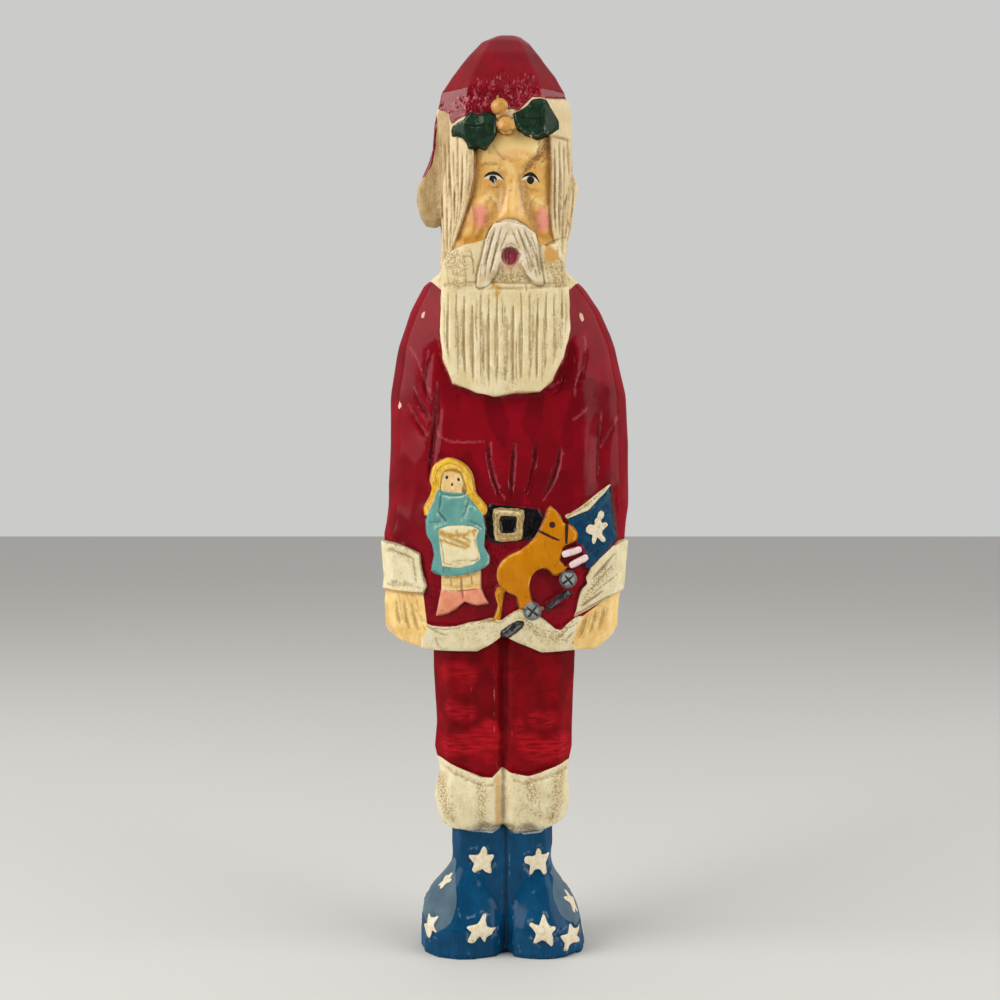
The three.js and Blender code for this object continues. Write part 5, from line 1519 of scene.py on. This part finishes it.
# coats: the first, then what shows in patches and in the brush marks. marks: the strokes it takes
paints = {
    # The suit: deep crimson brushed on thin, under a gloss varnish, pale pink along its folds as wear and
    # painted highlight
    "coatRed": {
        "name": "crimson acrylic, brushed and varnished", "coats": ("#7b0d18", "#8e0d1d", "#660913"),
        "dark": "#44040c", "worn": "#dd8b8d", "wash": 0.5, "rub": 0.35, "blotch": 13.0,
        "brush": (9.0, 9.0, 1.0), "marks": ("pale",), "pale": "#ba5862", "streak": 0.2, "facets": 0.5,
        "brushDepth": 0.02, "shine": 0.0, "coatRough": 0.17,
    },
    # Trousers: the crimson in one coat, deeper, with the brush showing across the legs
    "trouserRed": {
        "name": "crimson acrylic, one coat, varnished", "coats": ("#74050e", "#8a0814", "#59030a"),
        "dark": "#38030a", "worn": "#d8868a", "wash": 0.5, "rub": 0.35, "blotch": 9.0,
        "brush": (7.0, 7.0, 1.0), "marks": ("pale",), "pale": "#c01622", "dragged": 0.85, "streak": 0.45,
        "facets": 0.35, "brushDepth": 0.03, "shine": 0.0, "coat": 0.14, "coatRough": 0.12,
    },
    # Hat: two coats and the thickest varnish, so the glossiest red, rubbed pink at its edges, with painted
    # glints and a painted highlight in pale pink
    "hatRed": {
        "name": "crimson acrylic, two coats, varnished", "coats": ("#7b0716", "#8d0b1d", "#610611"),
        "dark": "#4a0510", "worn": "#d8808c", "wash": 0.5, "rub": 0.55, "blotch": 12.0, "marks": ("pale",),
        "pale": "#c0606c", "facets": 0.25, "brushDepth": 0.02, "shine": 0.0, "coat": 0.6, "coatRough": 0.09,
    },
    # Fur: off-white, dabbed on dry so that brown specks of the rubbed-in wash stay in its pores
    # the grey-blue in the scoops under the boot cuffs is painted shade
    "creamFur": {
        "name": "cream milk paint, dabbed and antiqued", "coats": ("#e8dab2", "#dccb9c", "#f0e8ca"),
        "dark": "#80622f", "worn": "#f4ecd2", "wash": 0.5, "speck": 0.3, "blotch": 6.0,
        "marks": ("brown", "ochre", "cool"), "brown": "#98763c", "stipple": (0.47, 0.56, 0.1),
        "rough": 0.55, "coat": 0.15, "coatRough": 0.3,
    },
    # Hair: the cream runs smooth down the locks, and the wash sits in the flutes between them
    "creamHair": {
        "name": "cream milk paint on fluted locks", "coats": ("#e3cca0", "#d8bd8a", "#ecdcb6"),
        "dark": "#96743e", "worn": "#f6eed6", "wash": 0.75, "speck": 0.25, "brush": (0.9, 0.9, 10.0),
        "marks": ("brown",), "brown": "#b8945a", "rough": 0.52, "coat": 0.15, "coatRough": 0.3,
    },
    # Beard: the same cream, with an olive-brown wash run down its flutes
    "creamBeard": {
        "name": "cream milk paint, fluted and washed", "coats": ("#ecdaae", "#e0cb98", "#f2e6c2"),
        "dark": "#9c8048", "worn": "#f5edd6", "wash": 0.5, "speck": 0.25, "blotch": 8.0,
        "brush": (0.9, 0.9, 10.0), "marks": ("brown", "ochre", "blush"), "brown": "#a07f44",
        "blush": "#dba58c", "stipple": (0.44, 0.54, 0.2), "rough": 0.55, "coat": 0.12, "coatRough": 0.3,
    },
    # Moustache: a greyer white that stands off from the beard, brown in its flutes
    "moustacheWhite": {
        "name": "grey-white milk paint, washed", "coats": ("#ecdabc", "#dcc69e", "#f4e8d0"),
        "dark": "#927a4e", "worn": "#f8f2e4", "wash": 0.75, "speck": 0.1, "blotch": 5.0,
        "marks": ("brown",), "brown": "#b89c66",
    },
    # The hat's fur band and bobble: cream painted tan as shade, specked and dull
    "tanFur": {
        "name": "cream milk paint shaded tan, stippled", "coats": ("#c0a373", "#b2935f", "#ccb284"),
        "dark": "#7c6030", "worn": "#e2cda2", "speck": 0.4, "wash": 0.4, "blotch": 4.0, "marks": ("brown",),
        "rough": 0.6, "coat": 0.1,
    },
    # Flesh: warm ochre-yellow, brown at its hollows as antiquing and painted shade, with painted highlights
    # and a dry pink on the cheeks
    "faceFlesh": {
        "name": "flesh acrylic, dry-brushed and varnished", "coats": ("#e6b05c", "#eec070", "#d69840"),
        "dark": "#7a4c17", "brown": "#8a5a20", "blush": "#ee967e", "pale": "#f8d68e", "worn": "#f8dca0",
        "wash": 0.55, "blotch": 4.0, "brush": (1.0, 1.0, 4.0), "marks": ("pale", "ochre", "blush", "brown"),
        "rough": 0.4, "coat": 0.4, "coatRough": 0.18,
    },
    # Hands: a paler flesh, dulled and specked by the wash
    "handFlesh": {
        "name": "flesh acrylic, antiqued", "coats": ("#f6d188", "#ecbf6c", "#fadc9c"), "dark": "#96702e",
        "worn": "#f6e6b8", "wash": 0.4, "speck": 0.25, "blotch": 5.0, "marks": ("brown",), "rough": 0.48,
    },
    # Eyes: a warm white, laid on flat and clean
    "eyeWhite": {"name": "white acrylic", "coats": ("#ece2d2", "#dccdb8", "#f2ece0"), "wash": 0.2},
    # Lids, pupils and fine lines: soft black with a slight gloss
    "lashBlack": {
        "name": "black acrylic, fine brush", "coats": ("#120d10", "#1d171a", "#0c090b"), "dark": "#050405",
        "worn": "#2a2224", "wash": 0.3, "rough": 0.4, "coat": 0.4,
    },
    # One pupil's light: a small grey-blue touch
    "eyeGlint": {"name": "grey-blue acrylic", "coats": ("#8d9db0", "#a4b1c0", "#7888a0")},
    # Lips: dark crimson with a wet gloss
    "lipRed": {
        "name": "crimson lake acrylic, varnished", "coats": ("#9a2230", "#ac3844", "#80182a"),
        "dark": "#3a0612", "worn": "#d98a98", "rub": 0.4, "blotch": 2.5, "rough": 0.35, "coat": 0.6,
    },
    # The lips' rim: dull pink that softens them into the beard
    "lipRim": {"name": "pink acrylic", "coats": ("#b0706c", "#a05c58", "#c48c80"), "dark": "#6c2430"},
    # Holly: near-black green with dry grey scrapes on its ridges
    "hollyGreen": {
        "name": "dark green acrylic, scraped", "coats": ("#1b2f20", "#263d2c", "#142216"),
        "dark": "#0a120c", "worn": "#93a392", "rub": 0.5, "blotch": 3.0, "shine": 0.05, "coat": 0.14,
        "coatRough": 0.12,
    },
    # Berries: dull yellow ochre, browner in the hollows
    "berryOchre": {
        "name": "ochre acrylic", "coats": ("#d49c4a", "#c08432", "#e2b062"), "dark": "#6e4312",
        "worn": "#efd09a", "blotch": 2.5, "marks": ("brown",), "brown": "#7c5018",
    },
    # Belt: near black, and the hardest gloss on the figure
    "beltBlack": {
        "name": "black enamel, gloss", "coats": ("#0b0a0c", "#151316", "#221d1c"), "dark": "#030203",
        "worn": "#6a5638", "blotch": 3.0, "shine": 0.0, "coat": 0.5, "coatRough": 0.06,
    },
    # Buckle: dull gold dabbed over cream, so that both show, with a painted highlight along its top
    "dullGold": {
        "name": "gold acrylic dabbed over cream", "coats": ("#c6aa6c", "#a5854a", "#e0cc98"),
        "dark": "#4b3614", "worn": "#f3e6c2", "rub": 0.7, "blotch": 1.6, "marks": ("brown", "pale"),
        "brown": "#7a5a24", "rough": 0.4, "coat": 0.3,
    },
    # The doll's hair: bright yellow, light along its strands
    "dollHair": {
        "name": "yellow acrylic", "coats": ("#efc02c", "#dca122", "#f6d250"), "dark": "#9a5f0c",
        "worn": "#f9e6a0", "blotch": 3.0, "marks": ("ochre",), "ochre": "#f7dc7c",
    },
    # The doll's face and legs: pale, with ochre towards the edges
    "dollSkin": {
        "name": "pale flesh acrylic", "coats": ("#efd195", "#e6be76", "#f5e0b0"), "dark": "#94692a",
        "blotch": 3.0, "marks": ("ochre",), "ochre": "#d9a244",
    },
    # The dress: pale blue-green, light along its ridges, partly rubbed and partly painted highlight
    "dressTeal": {
        "name": "pale teal acrylic", "coats": ("#66a29a", "#5a958e", "#74aca3"), "dark": "#356a62",
        "worn": "#b9cfae", "rub": 0.55, "blotch": 6.0, "marks": ("pale",), "pale": "#b4d2b8",
        "stipple": (0.2, 0.5, 0.7), "rough": 0.45, "coat": 0.25,
    },
    # The apron: cream with streaks of ochre that the dry brush left
    "apronCream": {
        "name": "cream acrylic, dry-brushed ochre", "coats": ("#f0e3b8", "#e9d8a4", "#f5ecca"),
        "dark": "#9b7a3a", "blotch": 4.0, "marks": ("ochre",), "ochre": "#c2963e",
        "stipple": (0.3, 0.55, 0.5),
    },
    # The shoes: even salmon pink, paler at the edges
    "shoePink": {
        "name": "salmon acrylic", "coats": ("#ea9776", "#e28763", "#f0a88a"), "dark": "#9a4a3a",
        "worn": "#f7cdb8", "blotch": 4.0, "rough": 0.4,
    },
    # The horse: strong yellow ochre under varnish, with a painted highlight along its lower edge
    "horseOchre": {
        "name": "yellow ochre acrylic, varnished", "coats": ("#c87a06", "#d18410", "#b96b03"),
        "dark": "#7a4708", "worn": "#ecb44e", "rub": 0.6, "blotch": 6.0, "marks": ("brown", "pale"),
        "pale": "#ebb452", "shine": 0.0, "coat": 0.25, "coatRough": 0.12,
    },
    # Bridle and the flag's shaded edge: nearly black, with a red cast
    "bridleBrown": {
        "name": "brown-black acrylic, fine brush", "coats": ("#38100a", "#451812", "#260a06"),
        "dark": "#0c0302", "worn": "#5a2a1c",
    },
    # The flag: deep blue, scraped grey along its folds
    "flagBlue": {
        "name": "dark blue acrylic", "coats": ("#0c3a58", "#124664", "#082e4a"), "dark": "#05141f",
        "worn": "#6f90a2", "rub": 0.35, "blotch": 5.0, "shine": 0.05, "coatRough": 0.12,
    },
    # Its stripes: an even pinkish white
    "stripeWhite": {
        "name": "pinkish white acrylic", "coats": ("#f1dcd8", "#ecd0cc", "#f6e8e4"), "dark": "#a06060",
        "blotch": 2.5,
    },
    # Stars: cream daubed on thick, specked brown
    "starCream": {
        "name": "cream acrylic, daubed", "coats": ("#ebe0c6", "#dfcba2", "#f3ecda"), "dark": "#93763f",
        "speck": 0.2, "blotch": 2.2,
    },
    # Bells: dull mid grey, scuffed light at the edges
    "bellGrey": {
        "name": "grey acrylic, scuffed", "coats": ("#888d8c", "#7a7f80", "#9ba09d"), "dark": "#2a2c2e",
        "worn": "#c0c4c0", "rub": 0.4, "blotch": 2.2, "rough": 0.42,
    },
    # The bells' straps: soft black, scuffed grey, with painted highlights in grey
    "strapBlack": {
        "name": "black acrylic, scuffed", "coats": ("#1a1416", "#261e20", "#2e2826"), "dark": "#060405",
        "worn": "#8b8884", "rub": 0.35, "blotch": 2.4, "marks": ("pale",), "pale": "#8f8b88", "rough": 0.36,
        "coat": 0.5,
    },
    # Boots: strong blue, brushed up and down
    "bootBlue": {
        "name": "Prussian blue acrylic, brushed and varnished", "coats": ("#083f62", "#0d4a70", "#063450"),
        "dark": "#04121e", "worn": "#8fa9b8", "wash": 0.45, "rub": 0.4, "blotch": 10.0,
        "brush": (1.0, 1.0, 9.0), "marks": ("cool",), "cool": "#6f8796", "shine": 0.0, "coat": 0.25,
        "coatRough": 0.12,
    },
    # The boots' hollow sides: a dull slate blue that is a painted reflection of their sheen
    "scoopSheenBlue": {
        "name": "slate blue acrylic, painted sheen", "coats": ("#4c6272", "#566e7c", "#425866"),
        "dark": "#101c26", "worn": "#8fa9b8", "wash": 0.4, "rub": 0.2, "blotch": 9.0,
        "brush": (1.0, 1.0, 9.0), "streak": 0.3, "rough": 0.6, "shine": 0.1, "coat": 0.1, "coatRough": 0.3,
    },
    # Under the boot cuffs the blue is rubbed through: pale and patchy
    "wornWhite": {
        "name": "blue acrylic rubbed to its ground", "coats": ("#b9c4ca", "#8fa2ae", "#d4dadc"),
        "dark": "#24445c", "blotch": 1.6,
    },
    # Knocks: raw wood with a pink cast, quite matt
    "bareWood": {
        "name": "bare basswood, chipped", "coats": ("#ecc4a8", "#e2b296", "#f4dcc4"), "dark": "#8c5a44",
        "blotch": 1.5, "rough": 0.6, "coat": 0.0,
    },
}


def makePaint(look):
    look = {**plainPaint, **look}
    material = bpy.data.materials.new(look["name"])
    material.use_nodes = True
    tree = material.node_tree
    place = addNode(tree, "ShaderNodeTexCoord").outputs["Object"]
    blotches = addNode(tree, "ShaderNodeTexNoise", {
        "Vector": place, "Scale": 1 / (look["blotch"] * mm), "Detail": 4.0,
    }).outputs["Fac"]
    grain = [1 / (size * mm) for size in look["brush"]]
    along = addNode(tree, "ShaderNodeMapping", {"Vector": place, "Scale": grain}).outputs[0]
    brushed = addNode(tree, "ShaderNodeTexNoise", {
        "Vector": along, "Scale": 1.0, "Detail": 3.0,
    }).outputs["Fac"]
    pores = addNode(tree, "ShaderNodeTexNoise", {
        "Vector": place, "Scale": 1 / (look["pore"] * mm), "Detail": 2.0, "Roughness": 0.7,
    }).outputs["Fac"]
    patchy = addNode(tree, "ShaderNodeTexNoise", {
        "Vector": place, "Scale": 1 / (look["rubPatch"] * mm), "Detail": 3.0,
    }).outputs["Fac"]
    cuts, worn, grime, facet = (
        addNode(tree, "ShaderNodeAttribute", attribute_name=name).outputs["Fac"]
        for name in ("cuts", "worn", "grime", "facet"))

    # thin coats over each other: what each follows, between which values, how strongly, and its colour
    base, second, third = look["coats"]
    coats = [(blotches, showing["blotch"], 1.0, second),
             (brushed, showing["streak"], look["streak"], third)]
    if look["facets"]:
        for span, tone in zip(showing["facets"], (second, third)):
            coats.append((facet, span, look["facets"], tone))
    for kind in look.get("marks", ()):
        mark = addNode(tree, "ShaderNodeAttribute", attribute_name=kind).outputs["Fac"]
        gaps = None
        if look["dragged"]:
            gaps = (brushed, *showing["dragged"], 1 - look["dragged"])
        elif kind in ("brown", "cool"):
            gaps = (pores, *look["stipple"])
        if gaps:
            source, low, high, least = gaps
            left = addNode(tree, "ShaderNodeMapRange", {
                "Value": source, "From Min": low, "From Max": high, "To Min": least,
            }).outputs[0]
            mark = addNode(tree, "ShaderNodeMath", {0: mark, 1: left}, operation="MULTIPLY").outputs[0]
        coats.append((mark, None, 1.0, look[kind]))
    if look["speck"]:
        lifted = {0: grime, 1: look["dirt"], 2: pores}
        dirt = addNode(tree, "ShaderNodeMath", lifted, operation="MULTIPLY_ADD").outputs[0]
        coats.append((dirt, showing["speck"], look["speck"], look["dark"]))
    coats.append((cuts, showing["cuts"], look["wash"], look["dark"]))
    rubbed = addNode(tree, "ShaderNodeMath", {0: worn, 1: patchy}, operation="MULTIPLY").outputs[0]
    coats.append((rubbed, showing["worn"], look["rub"], look["worn"]))
    colour = hexColour(base)
    for share, span, most, tone in coats:
        if span:
            share = addNode(tree, "ShaderNodeMapRange", {
                "Value": share, "From Min": span[0], "From Max": span[1], "To Max": most,
            }).outputs[0]
        mixed = {0: share, 6: colour, 7: hexColour(tone)}
        colour = addNode(tree, "ShaderNodeMix", mixed, data_type="RGBA").outputs[2]

    depth = look["brushDepth"] * mm
    marksLeft = addNode(tree, "ShaderNodeBump", {"Height": brushed, "Distance": depth}).outputs[0]
    skin = addNode(tree, "ShaderNodeBump", {
        "Height": pores, "Distance": depth * 0.6, "Normal": marksLeft,
    }).outputs[0]
    low, high = showing["sheen"]
    smooth, rough = (look["rough"] * share for share in look["roughVaries"])
    sheen = addNode(tree, "ShaderNodeMapRange", {
        "Value": brushed, "From Min": low, "From Max": high, "To Min": smooth, "To Max": rough,
    }).outputs[0]
    feed(tree, tree.nodes["Principled BSDF"], {
        "Base Color": colour, "Roughness": sheen, "Specular IOR Level": look["shine"], "Normal": skin,
        "Coat Weight": look["coat"], "Coat Roughness": look["coatRough"], "Coat Normal": skin,
    })
    return material


# Studio: a pale floor and soft light from both sides

studio = {
    "cameraAway": 632,  # mm in front of the figure's middle plane
    "cameraAcross": -2.4,
    "cameraUp": 214,
    "lens": 1.3,  # in sensor widths
    "floor": "#d2d0cc",
    "floorRough": 0.75,
    "floorSize": 14,  # m
    "air": "#e8e8e6",
    "airStrength": (0.16, 0.74),  # behind the camera, then on the other sides
    "dim": (-0.9, -0.2),  # the Y of a direction where it is dim, and where it is bright
    "lights": (  # across, toward the viewer, up, size in mm, watts
        (-1250, 560, 950, 1200, 21.0),
        (1250, 520, 800, 1200, 13.5),
    ),
    "aim": 220,  # mm, the height that the lights are turned to
}


def buildStudio():
    bpy.ops.mesh.primitive_plane_add(size=studio["floorSize"])
    floor = bpy.context.object
    floor.name = "floor"
    pale = bpy.data.materials.new("pale matt board")
    pale.use_nodes = True
    feed(pale.node_tree, pale.node_tree.nodes["Principled BSDF"], {
        "Base Color": hexColour(studio["floor"]), "Roughness": studio["floorRough"],
    })
    floor.data.materials.append(pale)
    for x, y, z, size, watts in studio["lights"]:
        lamp = bpy.data.lights.new("soft box", "AREA")
        lamp.size = size * mm
        lamp.energy = watts
        holder = bpy.data.objects.new("soft box", lamp)
        holder.location = (x * mm, -y * mm, z * mm)
        aim = mathutils.Vector((0, 0, studio["aim"] * mm)) - holder.location
        holder.rotation_euler = aim.to_track_quat("-Z", "Y").to_euler()
        bpy.context.scene.collection.objects.link(holder)
    world = bpy.data.worlds.new("studio air")
    world.use_nodes = True
    tree = world.node_tree
    way = addNode(tree, "ShaderNodeTexCoord").outputs["Generated"]
    along = addNode(tree, "ShaderNodeSeparateXYZ", {0: way}).outputs["Y"]
    (dim, bright), (low, high) = studio["airStrength"], studio["dim"]
    strength = addNode(tree, "ShaderNodeMapRange", {
        "Value": along, "From Min": low, "From Max": high, "To Min": dim, "To Max": bright,
    }).outputs[0]
    feed(tree, tree.nodes["Background"], {"Color": hexColour(studio["air"]), "Strength": strength})
    bpy.context.scene.world = world
    bpy.context.scene.view_settings.view_transform = "Standard"
    lens = bpy.data.cameras.new("camera")
    lens.lens = lens.sensor_width * studio["lens"]
    camera = bpy.data.objects.new("camera", lens)
    camera.location = (studio["cameraAcross"] * mm, -studio["cameraAway"] * mm, studio["cameraUp"] * mm)
    camera.rotation_euler = (math.pi / 2, 0, 0)
    bpy.context.scene.collection.objects.link(camera)
    bpy.context.scene.camera = camera


def buildFigure():
    figure = denseCopy(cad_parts["carved_santa_figure"])
    print("fine wood:", len(figure.data.vertices), "vertices")
    carve(figure)
    print("carved:", len(areas), "areas to paint,", len(strokes), "brush strokes")
    markWear(figure)
    thin(figure)
    print("thinned:", len(figure.data.polygons), "faces")
    order = {paint: slot for slot, paint in enumerate(paints)}
    for paint in paints:
        figure.data.materials.append(makePaint(paints[paint]))
    paintFigure(figure, order)
    markStrokes(figure)
    print("painted:", len(figure.data.polygons), "faces,", len(paints), "paints")
    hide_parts("carved_santa_figure")
    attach(figure, "root")


buildStudio()
print("studio set")
buildFigure()
